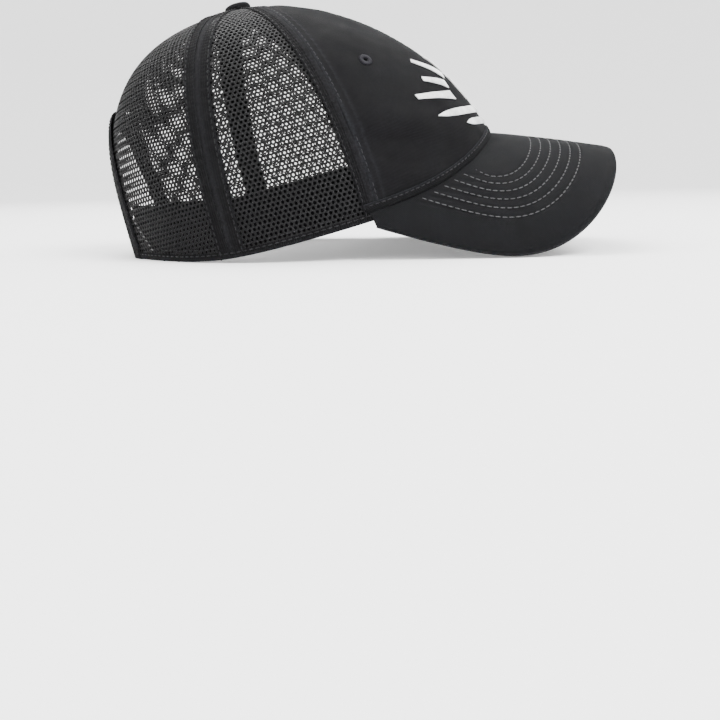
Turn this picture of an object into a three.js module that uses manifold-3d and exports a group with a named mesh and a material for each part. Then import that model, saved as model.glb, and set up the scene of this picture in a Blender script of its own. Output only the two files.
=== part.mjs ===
// Mesh-back baseball cap with a snap closure. Millimetres, +Z up, front of the cap toward -Y,
// the wearer's right toward -X. The cap stands on Z = 0 on its rear hem and the visor's two sides.
import * as THREE from 'three';
import { mergeVertices } from 'three/addons/utils/BufferGeometryUtils.js';
import Module from 'manifold-3d';

const DEG = Math.PI / 180;

// ---- crown: a superellipsoid whose front, sides and rear have their own roundness ----
const CROWN_HEIGHT = 115;
const FRONT_RADIUS = 112;
const REAR_RADIUS = 90;
const HALF_WIDTH = 81.5;
const ROUNDNESS_SIDE = 2.3;
const ROUNDNESS_SWING = 0.5;
const CROWN_TILT = 14.3 * DEG;
const CROWN_FORWARD = -30.8;
const CROWN_LIFT = 8.3;
const FRONT_SEAM = 62 * DEG;
const MID_SEAM = 109 * DEG;
const HEM_DROP = -0.6;
const HEM_ROUND = 2.5;
const HEM_SINK = 0.3;
const PANEL_HOLE_RADIUS = 3.2;
const ROWS = 10;
const COLUMN_STEP = 6.3 * DEG;

// ---- layers of the crown, as depths along the surface normal ----
const PANEL = [0, -1.0];
const TAPE = [-1.3, -1.8];
const SWEATBAND = [-2.1, -3.1];
const SWEATBAND_REAR_DROP = 1.9;
const SWEATBAND_HEIGHT = 27;
const SWEATBAND_END = 153 * DEG;
const SEAM_GAP = 0.35;
const GAP = 0.35;
const TAPE_TOP_RADIUS = 4.6;
const TAPE_MAX_ANGLE = 20 * DEG;

// ---- rear opening ----
const ARCH_HALF_WIDTH = 38;
const ARCH_BASE = 16;
const ARCH_TOP = 78;
const BINDING_WIDTH = 7;
const BINDING_LEG = 0.6;
const BINDING_GAP = 0.6;
const ARCH_STEPS = 26;
const BINDING_LEG_STEPS = 5;

// ---- closure straps ----
const STRAP_HEIGHT = 17;
const STRAP_LIFT = 0.9;
const STRAP_OUTER = [-2.2, -3.5];
const STRAP_STEP_IN = 1.7;
const STRAP_HINGE_X = 35.4;
const STRAP_TAB_LENGTH = 11;
const STRAP_REACH = 14 * DEG;
const SNAP_STEPS = [-3, -2, -1, 0, 1, 2];
const SNAP_PITCH = 5.4 * DEG;
const SNAP_HOLE_RADIUS = 2.45;
const STUD_RADIUS = 1.5;
const STUD_LENGTH = 2.1;

// ---- visor: part of a cylinder whose axis runs forward and down ----
const VISOR_RADIUS = 86;
const VISOR_SLOPE = 8.7 * DEG;
const VISOR_FORWARD = 68.3;
const VISOR_RIDGE = 59.8;
const VISOR_HALF = 106.9;
const VISOR_FRONT = 64.5;
const VISOR_WIDEST = -16;
const VISOR_ROUNDNESS = 2.5;
const VISOR_SIDE = 50.4;
const VISOR_SIDE_TAPER = 5.5;
const VISOR_CORNER = 63.5 * DEG;
const VISOR_FRONT_SHARE = 0.78;
const JOIN_LOW = 3.3;
const JOIN_RISE = 20.7;
const JOIN_SPREAD = 31.5 * DEG;
const VISOR_THICK = 4.0;
const COVER_THICK = 0.7;
const BOARD = [-1.05, -2.9];
const STRIP_HEIGHT = 3.9;
const STRIP_ANGLE = 65 * DEG;

// ---- button and eyelets ----
const EYELET_ANGLE = 42.7 * DEG;
const EYELET_LEVEL = 70;
const EYELET_HOLE = 1.65;

const COLOURS = {
  twill: 0x1f1f22, net: 0x17181a, tape: 0x141416, sweatband: 0x1b1b1e, plastic: 0x131314,
  board: 0x2a2a2c, metal: 0xb8babd, thread: 0x4f4c58,
};

const wasm = await Module();
wasm.setup();

// ---------------------------------------------------------------- solids
function signedVolume(points, faces) {
  let sum = 0;
  for (const [a, b, c] of faces) {
    sum += points[a].dot(points[b].clone().cross(points[c])) / 6;
  }
  return sum;
}

function solid(points, faces) {
  const turned = signedVolume(points, faces) < 0 ? faces.map(([a, b, c]) => [a, c, b]) : faces;
  const geometry = new THREE.BufferGeometry();
  const flat = points.flatMap((p) => [p.x, p.y, p.z]);
  geometry.setAttribute('position', new THREE.Float32BufferAttribute(flat, 3));
  geometry.setIndex(turned.flat());
  geometry.computeVertexNormals();
  return geometry;
}

// Rings of points joined one to the next; caps close the two ends unless the rings form a loop.
function sweep(ringAt, steps, caps, loop = false) {
  const rings = [];
  const count = loop ? steps : steps + 1;
  for (let i = 0; i < count; i += 1) {
    rings.push(ringAt(i / steps));
  }
  const size = rings[0].length;
  const faces = [];
  for (let i = 0; i < steps; i += 1) {
    const next = (i + 1) % count;
    for (let j = 0; j < size; j += 1) {
      const k = (j + 1) % size;
      const a = i * size + j;
      const b = i * size + k;
      const c = next * size + k;
      const d = next * size + j;
      faces.push([a, b, c], [a, c, d]);
    }
  }
  if (!loop) {
    const last = (count - 1) * size;
    for (const [a, b, c] of caps) {
      faces.push([a, c, b], [last + a, last + b, last + c]);
    }
  }
  return solid(rings.flat(), faces);
}

// A sheet with thickness: pointAt(across, up, side) with side 0 outside and 1 inside.
function sheet(pointAt, columns, rows) {
  const size = 2 * (rows + 1);
  const caps = [];
  for (let j = 0; j < rows; j += 1) {
    const k = size - 1 - j;
    caps.push([j, j + 1, k - 1], [j, k - 1, k]);
  }
  return sweep((f) => {
    const ring = [];
    for (let j = 0; j <= rows; j += 1) {
      ring.push(pointAt(f, j / rows, 0));
    }
    for (let j = rows; j >= 0; j -= 1) {
      ring.push(pointAt(f, j / rows, 1));
    }
    return ring;
  }, columns, caps);
}

// Triangles over a flat profile, turned the same way round as the profile's own points.
function profileCaps(profile) {
  const shape = profile.map(([x, y]) => new THREE.Vector2(x, y));
  const caps = THREE.ShapeUtils.triangulateShape(shape, []);
  const follows = caps.some((cap) => cap.some((a, i) => cap[(i + 1) % 3] === a + 1));
  return follows ? caps : caps.map(([a, b, c]) => [a, c, b]);
}

function lathe(profile, segments, place) {
  const ring = (f) => profile.map(([r, h]) => {
    const angle = 2 * Math.PI * f;
    return place(r * Math.cos(angle), r * Math.sin(angle), h);
  });
  return sweep(ring, segments, [], true);
}

function toManifold(geometry) {
  const bare = geometry.clone();
  bare.deleteAttribute('normal');
  bare.deleteAttribute('uv');
  const merged = mergeVertices(bare, 1e-4);
  const vertProperties = new Float32Array(merged.getAttribute('position').array);
  const triVerts = new Uint32Array(merged.getIndex().array);
  return new wasm.Manifold(new wasm.Mesh({ numProp: 3, vertProperties, triVerts }));
}

function fromManifold(manifold) {
  const mesh = manifold.getMesh();
  const points = [];
  for (let i = 0; i < mesh.vertProperties.length; i += mesh.numProp) {
    points.push(new THREE.Vector3(...mesh.vertProperties.slice(i, i + 3)));
  }
  const faces = [];
  for (let i = 0; i < mesh.triVerts.length; i += 3) {
    faces.push([...mesh.triVerts.slice(i, i + 3)]);
  }
  return solid(points, faces);
}

function cut(geometry, ...tools) {
  return fromManifold(tools.reduce((left, tool) => left.subtract(toManifold(tool)), toManifold(geometry)));
}

function join(geometry, ...others) {
  return fromManifold(others.reduce((left, other) => left.add(toManifold(other)), toManifold(geometry)));
}

// ---------------------------------------------------------------- crown surface
const crownAxes = {
  forward: new THREE.Vector3(0, -Math.cos(CROWN_TILT), Math.sin(CROWN_TILT)),
  side: new THREE.Vector3(1, 0, 0),
  up: new THREE.Vector3(0, Math.sin(CROWN_TILT), Math.cos(CROWN_TILT)),
  origin: new THREE.Vector3(0, -CROWN_FORWARD, CROWN_LIFT),
};

function fromCrown(forward, side, up) {
  return crownAxes.origin.clone()
    .addScaledVector(crownAxes.forward, forward)
    .addScaledVector(crownAxes.side, side)
    .addScaledVector(crownAxes.up, up);
}

function planRadius(phi) {
  const a = Math.cos(phi) > 0 ? FRONT_RADIUS : REAR_RADIUS;
  return 1 / Math.hypot(Math.cos(phi) / a, Math.sin(phi) / HALF_WIDTH);
}

function roundness(phi) {
  return ROUNDNESS_SIDE - ROUNDNESS_SWING * Math.cos(phi);
}

function radiusAt(phi, level) {
  const n = roundness(phi);
  const t = Math.min(Math.max(level, 0) / CROWN_HEIGHT, 1);
  return planRadius(phi) * (1 - t ** n) ** (1 / n);
}

// The level at which the crown's surface is a given distance from its axis.
function levelAt(phi, radius) {
  const n = roundness(phi);
  return CROWN_HEIGHT * (1 - Math.min(radius / planRadius(phi), 1) ** n) ** (1 / n);
}

function crownPoint(phi, level, depth) {
  const n = roundness(phi);
  const plan = planRadius(phi);
  const a = Math.cos(phi) > 0 ? FRONT_RADIUS : REAR_RADIUS;
  const r = radiusAt(phi, level);
  const rr = Math.max(r / plan, 1e-4);
  const ww = Math.max(level / CROWN_HEIGHT, 1e-4);
  const planSlope = -(plan ** 3) * Math.sin(phi) * Math.cos(phi) * (1 / HALF_WIDTH ** 2 - 1 / a ** 2);
  const nSlope = ROUNDNESS_SWING * Math.sin(phi);
  const gr = (n * rr ** (n - 1)) / plan;
  const gw = level > 0 ? (n * ww ** (n - 1)) / CROWN_HEIGHT : 0;
  const shape = level > 0 ? nSlope * (ww ** n * Math.log(ww) + rr ** n * Math.log(rr)) : 0;
  const gp = (-n * rr ** n * (planSlope / plan) + shape) / Math.max(r, 1);
  const size = Math.hypot(gr, gw, gp);
  const forward = r * Math.cos(phi) + (depth * (gr * Math.cos(phi) - gp * Math.sin(phi))) / size;
  const side = r * Math.sin(phi) + (depth * (gr * Math.sin(phi) + gp * Math.cos(phi))) / size;
  return fromCrown(forward, side, level + (depth * gw) / size);
}

// Where the top of the visor meets the crown, as a level of the crown.
function joinLevel(phi) {
  return JOIN_LOW + JOIN_RISE * Math.exp(-((phi / JOIN_SPREAD) ** 2));
}

// The hem: it follows the visor at the front and flattens on Z = 0 at the rear.
const hemCache = new Map();
function hemLevel(phi, depth = 0) {
  const key = `${phi.toFixed(6)},${depth.toFixed(3)}`;
  if (hemCache.has(key)) {
    return hemCache.get(key);
  }
  let level = HEM_DROP;
  if (Math.abs(phi) < 90 * DEG) {
    level = joinLevel(phi) - VISOR_THICK + (HEM_DROP - JOIN_LOW + VISOR_THICK);
  } else {
    const plain = crownPoint(phi, HEM_DROP, 0).z;
    const eased = HEM_ROUND * Math.log(1 + Math.exp(plain / HEM_ROUND));
    const target = Math.max(0, eased - HEM_SINK * Math.exp(-Math.max(plain, 0) / 4));
    for (let i = 0; i < 12; i += 1) {
      level += (target - crownPoint(phi, level, depth).z) / Math.cos(CROWN_TILT);
    }
  }
  hemCache.set(key, level);
  return level;
}

// A level a share of the way along the surface, from one level up to a distance from the axis.
const STEPS = 48;
function levelAlong(phi, low, topRadius, share) {
  const top = levelAt(phi, topRadius);
  const levels = [low];
  const start = Math.min(radiusAt(phi, low), planRadius(phi));
  for (let i = 1; i <= STEPS; i += 1) {
    const f = i / STEPS;
    const turn = f * 90 * DEG;
    const level = low + (top - low) * Math.sin(turn);
    levels.push(level);
  }
  const lengths = [0];
  let last = [start, low];
  for (let i = 1; i <= STEPS; i += 1) {
    const here = [radiusAt(phi, levels[i]), levels[i]];
    lengths.push(lengths[i - 1] + Math.hypot(here[0] - last[0], here[1] - last[1]));
    last = here;
  }
  const want = share * lengths[STEPS];
  let i = 1;
  while (i < STEPS && lengths[i] < want) {
    i += 1;
  }
  const span = lengths[i] - lengths[i - 1] || 1;
  return levels[i - 1] + ((levels[i] - levels[i - 1]) * (want - lengths[i - 1])) / span;
}

function halfGapAngle(radius) {
  return Math.asin(Math.min(SEAM_GAP / 2 / radius, 0.9));
}

// ---------------------------------------------------------------- crown pieces
function panel(from, to) {
  const columns = Math.ceil(Math.abs(to - from) / COLUMN_STEP);
  const sign = Math.sign(to - from);
  return sheet((across, up, side) => {
    const middle = from + (to - from) * across;
    const level = levelAlong(middle, hemLevel(middle), PANEL_HOLE_RADIUS, up);
    const ease = sign * halfGapAngle(Math.max(radiusAt(middle, level), PANEL_HOLE_RADIUS));
    const phi = from + ease + (to - from - 2 * ease) * across;
    const depth = PANEL[side];
    const foot = hemLevel(phi, depth);
    return crownPoint(phi, up === 0 ? foot : levelAlong(phi, foot, PANEL_HOLE_RADIUS, up), depth);
  }, columns, ROWS);
}

function seamTape(seam, halfWidth, foot = null, drop = 0) {
  return sheet((across, up, side) => {
    const depth = TAPE[side] - drop;
    const start = foot === null ? hemLevel(seam, depth) : foot;
    const seamAt = levelAlong(seam, start, TAPE_TOP_RADIUS, up);
    const radius = radiusAt(seam, seamAt);
    const half = Math.min(Math.asin(Math.min(halfWidth / radius, 1)), TAPE_MAX_ANGLE);
    const phi = seam + half * (2 * across - 1);
    const low = foot === null ? hemLevel(phi, depth) : foot;
    const level = up === 0 ? low : levelAlong(phi, low, TAPE_TOP_RADIUS, up);
    return crownPoint(phi, level, depth);
  }, 2, ROWS);
}

function smooth(x, low, high) {
  const t = Math.min(Math.max((x - low) / (high - low), 0), 1);
  return t * t * (3 - 2 * t);
}

function sweatbandDepth(phi, side) {
  return SWEATBAND[side] - SWEATBAND_REAR_DROP * smooth(Math.abs(phi), 130 * DEG, 140 * DEG);
}

function sweatband() {
  const columns = Math.ceil((2 * SWEATBAND_END) / COLUMN_STEP);
  return sheet((across, up, side) => {
    const phi = SWEATBAND_END * (2 * across - 1);
    const depth = sweatbandDepth(phi, side);
    return crownPoint(phi, hemLevel(phi, depth) + SWEATBAND_HEIGHT * up, depth);
  }, columns, 3);
}

function hemStrip() {
  const depths = [GAP + 0.6, GAP];
  return sheet((across, up, side) => {
    const phi = STRIP_ANGLE * (2 * across - 1);
    return crownPoint(phi, joinLevel(phi) + GAP + STRIP_HEIGHT * up, depths[side]);
  }, Math.ceil((2 * STRIP_ANGLE) / COLUMN_STEP), 1);
}

// ---------------------------------------------------------------- rear opening
// A point of the rear of the crown at a distance to the side of the centre plane.
function rearPoint(side, level, depth) {
  let phi = Math.PI;
  for (let i = 0; i < 12; i += 1) {
    const ratio = Math.min(Math.abs(side) / radiusAt(phi, level), 1);
    phi = Math.PI - Math.asin(ratio);
  }
  return crownPoint(side < 0 ? -phi : phi, level, depth);
}

function archCutter() {
  return sheet((across, up, side) => {
    const turn = Math.PI * across;
    const top = ARCH_BASE + (ARCH_TOP - ARCH_BASE) * Math.sin(turn);
    const level = 2 + (top - 2) * up;
    return rearPoint(ARCH_HALF_WIDTH * Math.cos(turn), level, side === 0 ? 4 : -4);
  }, ARCH_STEPS, 6);
}

function floorCutter() {
  const box = new THREE.BoxGeometry(400, 400, 40);
  box.translate(0, 0, -20);
  return box;
}

function openingBinding() {
  const inner = PANEL[1] - GAP - 0.1;
  const web = -BINDING_GAP - BINDING_LEG;
  const profile = [
    [web, BINDING_GAP + BINDING_LEG], [BINDING_WIDTH, BINDING_GAP + BINDING_LEG],
    [BINDING_WIDTH, BINDING_GAP], [-BINDING_GAP, BINDING_GAP], [-BINDING_GAP, inner],
    [BINDING_WIDTH, inner], [BINDING_WIDTH, inner - 0.4], [web, inner - 0.4],
  ];
  const caps = profileCaps(profile);
  const steps = ARCH_STEPS + 2 * BINDING_LEG_STEPS;
  const leg = BINDING_LEG_STEPS / steps;
  const rise = ARCH_TOP - ARCH_BASE;
  const ringAt = (f) => {
    const g = (f - leg) / (1 - 2 * leg);
    const turn = Math.PI * Math.min(Math.max(g, 0), 1);
    const below = g < 0 ? -g : Math.max(g - 1, 0);
    const x = ARCH_HALF_WIDTH * Math.cos(turn);
    const level = ARCH_BASE + rise * Math.sin(turn) - 48 * below;
    const slope = new THREE.Vector2(Math.cos(turn) / ARCH_HALF_WIDTH, Math.sin(turn) / rise).normalize();
    return profile.map(([a, depth]) => rearPoint(x + a * slope.x, level + a * slope.y, depth));
  };
  return cut(sweep(ringAt, steps, caps), floorCutter());
}

// ---------------------------------------------------------------- closure straps
const hingeAngle = Math.PI - Math.asin(STRAP_HINGE_X / radiusAt(Math.PI - 0.4, 24));

function strapPoint(phi, share, depth) {
  const low = hemLevel(phi, depth) + STRAP_LIFT;
  return crownPoint(phi, low + STRAP_HEIGHT * share, depth);
}

function tabPiece(sign) {
  const length = STRAP_TAB_LENGTH / REAR_RADIUS;
  const start = hingeAngle - GAP / REAR_RADIUS;
  return sheet((across, up, side) => {
    const phi = sign * (start - length * across);
    return strapPoint(phi, up, STRAP_OUTER[side]);
  }, 3, 2);
}

// How far the studded strap is stepped in, behind the strap with the holes.
function stepIn(phi) {
  const fromRear = Math.PI - Math.abs(phi);
  return STRAP_STEP_IN * (phi > 0 ? 1 : smooth(-fromRear, -0.385, -0.32));
}

function strapPiece(sign, steppedIn) {
  const reach = Math.PI - hingeAngle + STRAP_REACH;
  const endLength = STRAP_HEIGHT / 2 / REAR_RADIUS;
  return sheet((across, up, side) => {
    const turn = Math.sin(across * 90 * DEG) * reach;
    const phi = hingeAngle + turn;
    const wrapped = sign * (phi > Math.PI ? phi - 2 * Math.PI : phi);
    const left = Math.max(reach - turn, 0);
    const round = Math.min(left / endLength, 1);
    const half = 0.5 * Math.max(Math.sqrt(1 - (1 - round) ** 2), 0.25);
    const share = 0.5 + half * (2 * up - 1);
    const depth = STRAP_OUTER[side] - (steppedIn ? stepIn(wrapped) : 0);
    return strapPoint(wrapped, share, depth);
  }, 18, 2);
}

// A round bar through the strap, from one depth to another.
function snapBar(phi, radius, from, to) {
  const at = strapPoint(phi, 0.5, from);
  const end = strapPoint(phi, 0.5, to);
  const length = at.distanceTo(end);
  const bar = new THREE.CylinderGeometry(radius, radius, length, 14);
  const turn = new THREE.Quaternion().setFromUnitVectors(
    new THREE.Vector3(0, 1, 0), end.clone().sub(at).normalize());
  bar.applyQuaternion(turn);
  const middle = at.clone().add(end).multiplyScalar(0.5);
  bar.translate(middle.x, middle.y, middle.z);
  return bar;
}

// The angles of the snaps, counted from the rear centre toward the wearer's left (+) or right (-).
function snapAngles(sign) {
  return SNAP_STEPS.map((step) => {
    const turn = -sign * step * SNAP_PITCH;
    return turn >= 0 ? Math.PI - turn : -Math.PI - turn;
  });
}

function holeStrap() {
  const holes = snapAngles(1).map((phi) => snapBar(phi, SNAP_HOLE_RADIUS, 0, -6));
  return cut(strapPiece(1, false), ...holes);
}

function studStrap() {
  const studs = snapAngles(-1).map((phi) => {
    const face = STRAP_OUTER[0] - stepIn(phi);
    return snapBar(phi, STUD_RADIUS, face - 0.6, face + STUD_LENGTH);
  });
  return join(strapPiece(-1, true), ...studs);
}

// ---------------------------------------------------------------- visor
const visorAxis = {
  along: new THREE.Vector3(0, -Math.cos(VISOR_SLOPE), -Math.sin(VISOR_SLOPE)),
  up: new THREE.Vector3(0, -Math.sin(VISOR_SLOPE), Math.cos(VISOR_SLOPE)),
  origin: new THREE.Vector3(0, -VISOR_FORWARD, VISOR_RIDGE - VISOR_RADIUS / Math.cos(VISOR_SLOPE)),
};

function visorPoint(angle, radius, along) {
  return visorAxis.origin.clone()
    .addScaledVector(visorAxis.along, along)
    .addScaledVector(visorAxis.up, radius * Math.cos(angle))
    .add(new THREE.Vector3(radius * Math.sin(angle), 0, 0));
}

function visorCoordinates(point) {
  const rel = point.clone().sub(visorAxis.origin);
  const up = rel.dot(visorAxis.up);
  return { angle: Math.atan2(rel.x, up), radius: Math.hypot(rel.x, up), along: rel.dot(visorAxis.along) };
}

// The visor's flat outline: [distance around, distance along] for a place from 0 at its tip to 1.
function visorEdge(place, grow) {
  if (place < VISOR_FRONT_SHARE) {
    const turn = (place / VISOR_FRONT_SHARE) * 90 * DEG;
    const power = 2 / VISOR_ROUNDNESS;
    return [
      (VISOR_HALF + grow) * Math.sin(turn) ** power,
      VISOR_WIDEST + (VISOR_FRONT + grow) * Math.cos(turn) ** power,
    ];
  }
  const back = (place - VISOR_FRONT_SHARE) / (1 - VISOR_FRONT_SHARE);
  return [
    VISOR_HALF + grow - VISOR_SIDE_TAPER * back ** 1.55,
    VISOR_WIDEST - (VISOR_SIDE + grow) * back,
  ];
}

// How far a point is outside the crown, along the crown's normal.
function outsideCrown(point) {
  const rel = point.clone().sub(crownAxes.origin);
  const forward = rel.dot(crownAxes.forward);
  const level = Math.max(rel.dot(crownAxes.up), 0);
  const phi = Math.atan2(rel.x, forward);
  const n = roundness(phi);
  const plan = planRadius(phi);
  const radius = Math.hypot(forward, rel.x);
  const value = (radius / plan) ** n + (level / CROWN_HEIGHT) ** n - 1;
  const slope = Math.hypot(
    (n / plan) * (radius / plan) ** (n - 1),
    (n / CROWN_HEIGHT) * (level / CROWN_HEIGHT) ** (n - 1));
  return value / slope;
}

// The first place forward of a start where the visor's surface stands clear of the crown.
function clearAlong(angle, radius, start, gap) {
  let low = start - 8;
  let high = start + 30;
  for (let i = 0; i < 30; i += 1) {
    const middle = (low + high) / 2;
    if (outsideCrown(visorPoint(angle, radius, middle)) < gap) {
      low = middle;
    } else {
      high = middle;
    }
  }
  return high;
}

function visorSlab(top, bottom, grow, gap) {
  return sheet((across, out, side) => {
    const place = 2 * across - 1;
    const depth = side === 0 ? top : bottom;
    const corner = VISOR_CORNER + grow / HALF_WIDTH;
    const phi = corner * place;
    const back = visorCoordinates(crownPoint(phi, joinLevel(phi), GAP));
    const fall = back.radius - VISOR_RADIUS;
    const start = clearAlong(back.angle, back.radius + depth, back.along, gap);
    const [around, along] = visorEdge(Math.abs(place), grow);
    const edgeAngle = (Math.sign(place) * around) / VISOR_RADIUS;
    const angle = back.angle + (edgeAngle - back.angle) * out;
    const radius = VISOR_RADIUS + depth + fall * (1 - out) ** 3;
    return visorPoint(angle, radius, start + (along - start) * out);
  }, 40, 6);
}

function visorTopCover() {
  const outside = visorSlab(0, -VISOR_THICK + 2 * GAP + 0.3, 0, GAP);
  const inside = visorSlab(-COVER_THICK, -VISOR_THICK - 2, -COVER_THICK, -2.5);
  return cut(outside, inside);
}

// ---------------------------------------------------------------- button and eyelets
function aboutButton(x, y, h) {
  return fromCrown(x, y, h);
}

const BUTTON_COVER = [
  [0.01, 119.7], [3.5, 119.2], [5.7, 118.0], [6.6, 116.4], [6.5, 115.4], [4.4, 115.4],
  [4.4, 115.95], [5.85, 115.95], [5.95, 116.3], [5.0, 117.4], [3.1, 118.5], [0.01, 118.95],
];
const BUTTON_SHELL = [
  [0.01, 118.6], [2.9, 118.15], [4.6, 117.05], [5.5, 116.3], [1.5, 116.3],
  [1.5, 111.0], [2.7, 111.0], [2.7, 110.3], [0.01, 110.3],
];
const BUTTON_WASHER = [[1.9, 112.3], [7.0, 112.3], [7.0, 111.4], [1.9, 111.4]];
const EYELET = [
  [1.0, 1.1], [3.2, 1.1], [3.2, 0.55], [1.3, 0.55],
  [1.3, -1.75], [3.0, -1.75], [3.0, -2.2], [1.0, -2.2],
];

// A lathe whose profile ends on the axis: the two end rings shrink to single points.
function solidLathe(profile, segments) {
  const points = [];
  const faces = [];
  const inner = profile.slice(1, -1);
  for (let i = 0; i < segments; i += 1) {
    const angle = (2 * Math.PI * i) / segments;
    for (const [r, h] of inner) {
      points.push(aboutButton(r * Math.cos(angle), r * Math.sin(angle), h));
    }
  }
  const size = inner.length;
  const first = points.push(aboutButton(0, 0, profile[0][1])) - 1;
  const last = points.push(aboutButton(0, 0, profile[profile.length - 1][1])) - 1;
  for (let i = 0; i < segments; i += 1) {
    const a = i * size;
    const b = ((i + 1) % segments) * size;
    faces.push([first, a, b]);
    faces.push([last, b + size - 1, a + size - 1]);
    for (let j = 0; j < size - 1; j += 1) {
      faces.push([a + j, a + j + 1, b + j + 1], [a + j, b + j + 1, b + j]);
    }
  }
  return solid(points, faces);
}

function eyeletFrame(sign) {
  const phi = sign * EYELET_ANGLE;
  const origin = crownPoint(phi, EYELET_LEVEL, 0);
  const normal = crownPoint(phi, EYELET_LEVEL, 1).sub(origin).normalize();
  const across = new THREE.Vector3().crossVectors(crownAxes.up, normal).normalize();
  const up = new THREE.Vector3().crossVectors(normal, across);
  return (x, y, h) => origin.clone()
    .addScaledVector(across, x).addScaledVector(up, y).addScaledVector(normal, h);
}

function frontPanel(sign) {
  return cut(panel(0, sign * FRONT_SEAM), solidRod(EYELET_HOLE, -6, 6, 14, eyeletFrame(sign)));
}

function solidRod(radius, low, high, segments, place) {
  const points = [place(0, 0, low), place(0, 0, high)];
  const faces = [];
  for (let i = 0; i < segments; i += 1) {
    const angle = (2 * Math.PI * i) / segments;
    points.push(place(radius * Math.cos(angle), radius * Math.sin(angle), low));
    points.push(place(radius * Math.cos(angle), radius * Math.sin(angle), high));
  }
  for (let i = 0; i < segments; i += 1) {
    const a = 2 + 2 * i;
    const b = 2 + 2 * ((i + 1) % segments);
    faces.push([0, b, a], [1, a + 1, b + 1], [a, b, b + 1], [a, b + 1, a + 1]);
  }
  return solid(points, faces);
}

// ---------------------------------------------------------------- assembly
const cap = new THREE.Group();
cap.name = 'mesh_back_cap';

function add(name, geometry, colour, roughness = 0.9, metalness = 0) {
  const material = new THREE.MeshStandardMaterial({ color: COLOURS[colour], roughness, metalness });
  const mesh = new THREE.Mesh(geometry, material);
  mesh.name = name;
  cap.add(mesh);
}

const arch = archCutter();
for (const [side, sign] of [['left', 1], ['right', -1]]) {
  add(`front_panel_${side}`, frontPanel(sign), 'twill');
  add(`side_mesh_panel_${side}`, panel(sign * FRONT_SEAM, sign * MID_SEAM), 'net');
  add(`rear_mesh_panel_${side}`, cut(panel(sign * MID_SEAM, sign * Math.PI), arch), 'net');
  add(`front_seam_tape_${side}`, seamTape(sign * FRONT_SEAM, 5.5), 'tape');
  add(`mid_seam_tape_${side}`, seamTape(sign * MID_SEAM, 6.7), 'tape');
  add(`eyelet_${side}`, lathe(EYELET, 14, eyeletFrame(sign)), 'thread');
  add(`strap_tab_${side}`, tabPiece(sign), 'plastic', 0.4);
}
add('centre_seam_tape', seamTape(0, 5.5), 'tape');
add('rear_seam_tape', seamTape(Math.PI, 5.5, ARCH_TOP + BINDING_WIDTH + 1.2, 0.5), 'tape');
add('opening_binding', openingBinding(), 'tape');
add('sweatband', sweatband(), 'sweatband');
add('visor_seam_strip', hemStrip(), 'twill');
add('visor_top_cover', visorTopCover(), 'twill');
add('visor_board', visorSlab(BOARD[0], BOARD[1], -COVER_THICK - GAP, GAP + 0.1), 'board', 0.5);
add('visor_under_cover', visorSlab(-VISOR_THICK + COVER_THICK, -VISOR_THICK, 0, GAP), 'twill');
add('button_cover', solidLathe(BUTTON_COVER, 18), 'twill');
add('button_shell', solidLathe(BUTTON_SHELL, 18), 'metal', 0.35, 0.9);
add('button_washer', lathe(BUTTON_WASHER, 18, aboutButton), 'metal', 0.35, 0.9);
add('snap_strap_holes', holeStrap(), 'plastic', 0.4);
add('snap_strap_studs', studStrap(), 'plastic', 0.4);

// Centre the cap on X and Y over the origin.
const bounds = new THREE.Box3().setFromObject(cap, true);
const shift = new THREE.Vector3(0, -(bounds.min.y + bounds.max.y) / 2, 0);
for (const mesh of cap.children) {
  mesh.geometry.translate(shift.x, shift.y, shift.z);
}

export default cap;
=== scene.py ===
"""Mesh-back baseball cap: cloth, net, stitching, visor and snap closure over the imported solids."""

import logging
import math
from contextlib import contextmanager
from dataclasses import dataclass
from enum import Enum
from typing import Callable, Iterator, Optional, Sequence

import bpy
import numpy as np
from mathutils import Euler, Matrix, Vector, noise


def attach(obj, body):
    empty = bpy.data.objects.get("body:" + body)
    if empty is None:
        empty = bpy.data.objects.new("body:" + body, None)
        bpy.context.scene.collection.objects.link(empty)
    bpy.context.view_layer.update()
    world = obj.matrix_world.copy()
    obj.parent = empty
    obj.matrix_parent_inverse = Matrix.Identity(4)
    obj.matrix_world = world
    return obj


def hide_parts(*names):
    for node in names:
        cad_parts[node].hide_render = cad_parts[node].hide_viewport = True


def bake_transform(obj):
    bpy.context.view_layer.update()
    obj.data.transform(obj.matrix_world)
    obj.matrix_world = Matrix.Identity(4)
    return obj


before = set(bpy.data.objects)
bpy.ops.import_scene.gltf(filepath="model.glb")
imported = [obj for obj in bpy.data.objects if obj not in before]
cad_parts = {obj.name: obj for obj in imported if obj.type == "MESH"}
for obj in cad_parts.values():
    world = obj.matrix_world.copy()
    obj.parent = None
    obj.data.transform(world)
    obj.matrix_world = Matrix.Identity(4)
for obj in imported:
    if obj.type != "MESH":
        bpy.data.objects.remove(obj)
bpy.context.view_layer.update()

logging.basicConfig(level=logging.INFO, format="%(message)s")
log = logging.getLogger("cap")

MM = 0.001
DEG = math.pi / 180
Array = np.ndarray
Obj = bpy.types.Object
Mesh = bpy.types.Mesh
Material = bpy.types.Material
Tree = bpy.types.NodeTree
Socket = bpy.types.NodeSocket
Colour = tuple[float, float, float]
Line = tuple[Array, Array]
Placed = tuple[Array, Array, Array]
Layer = Callable[[Array, Array], Placed]


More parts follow.
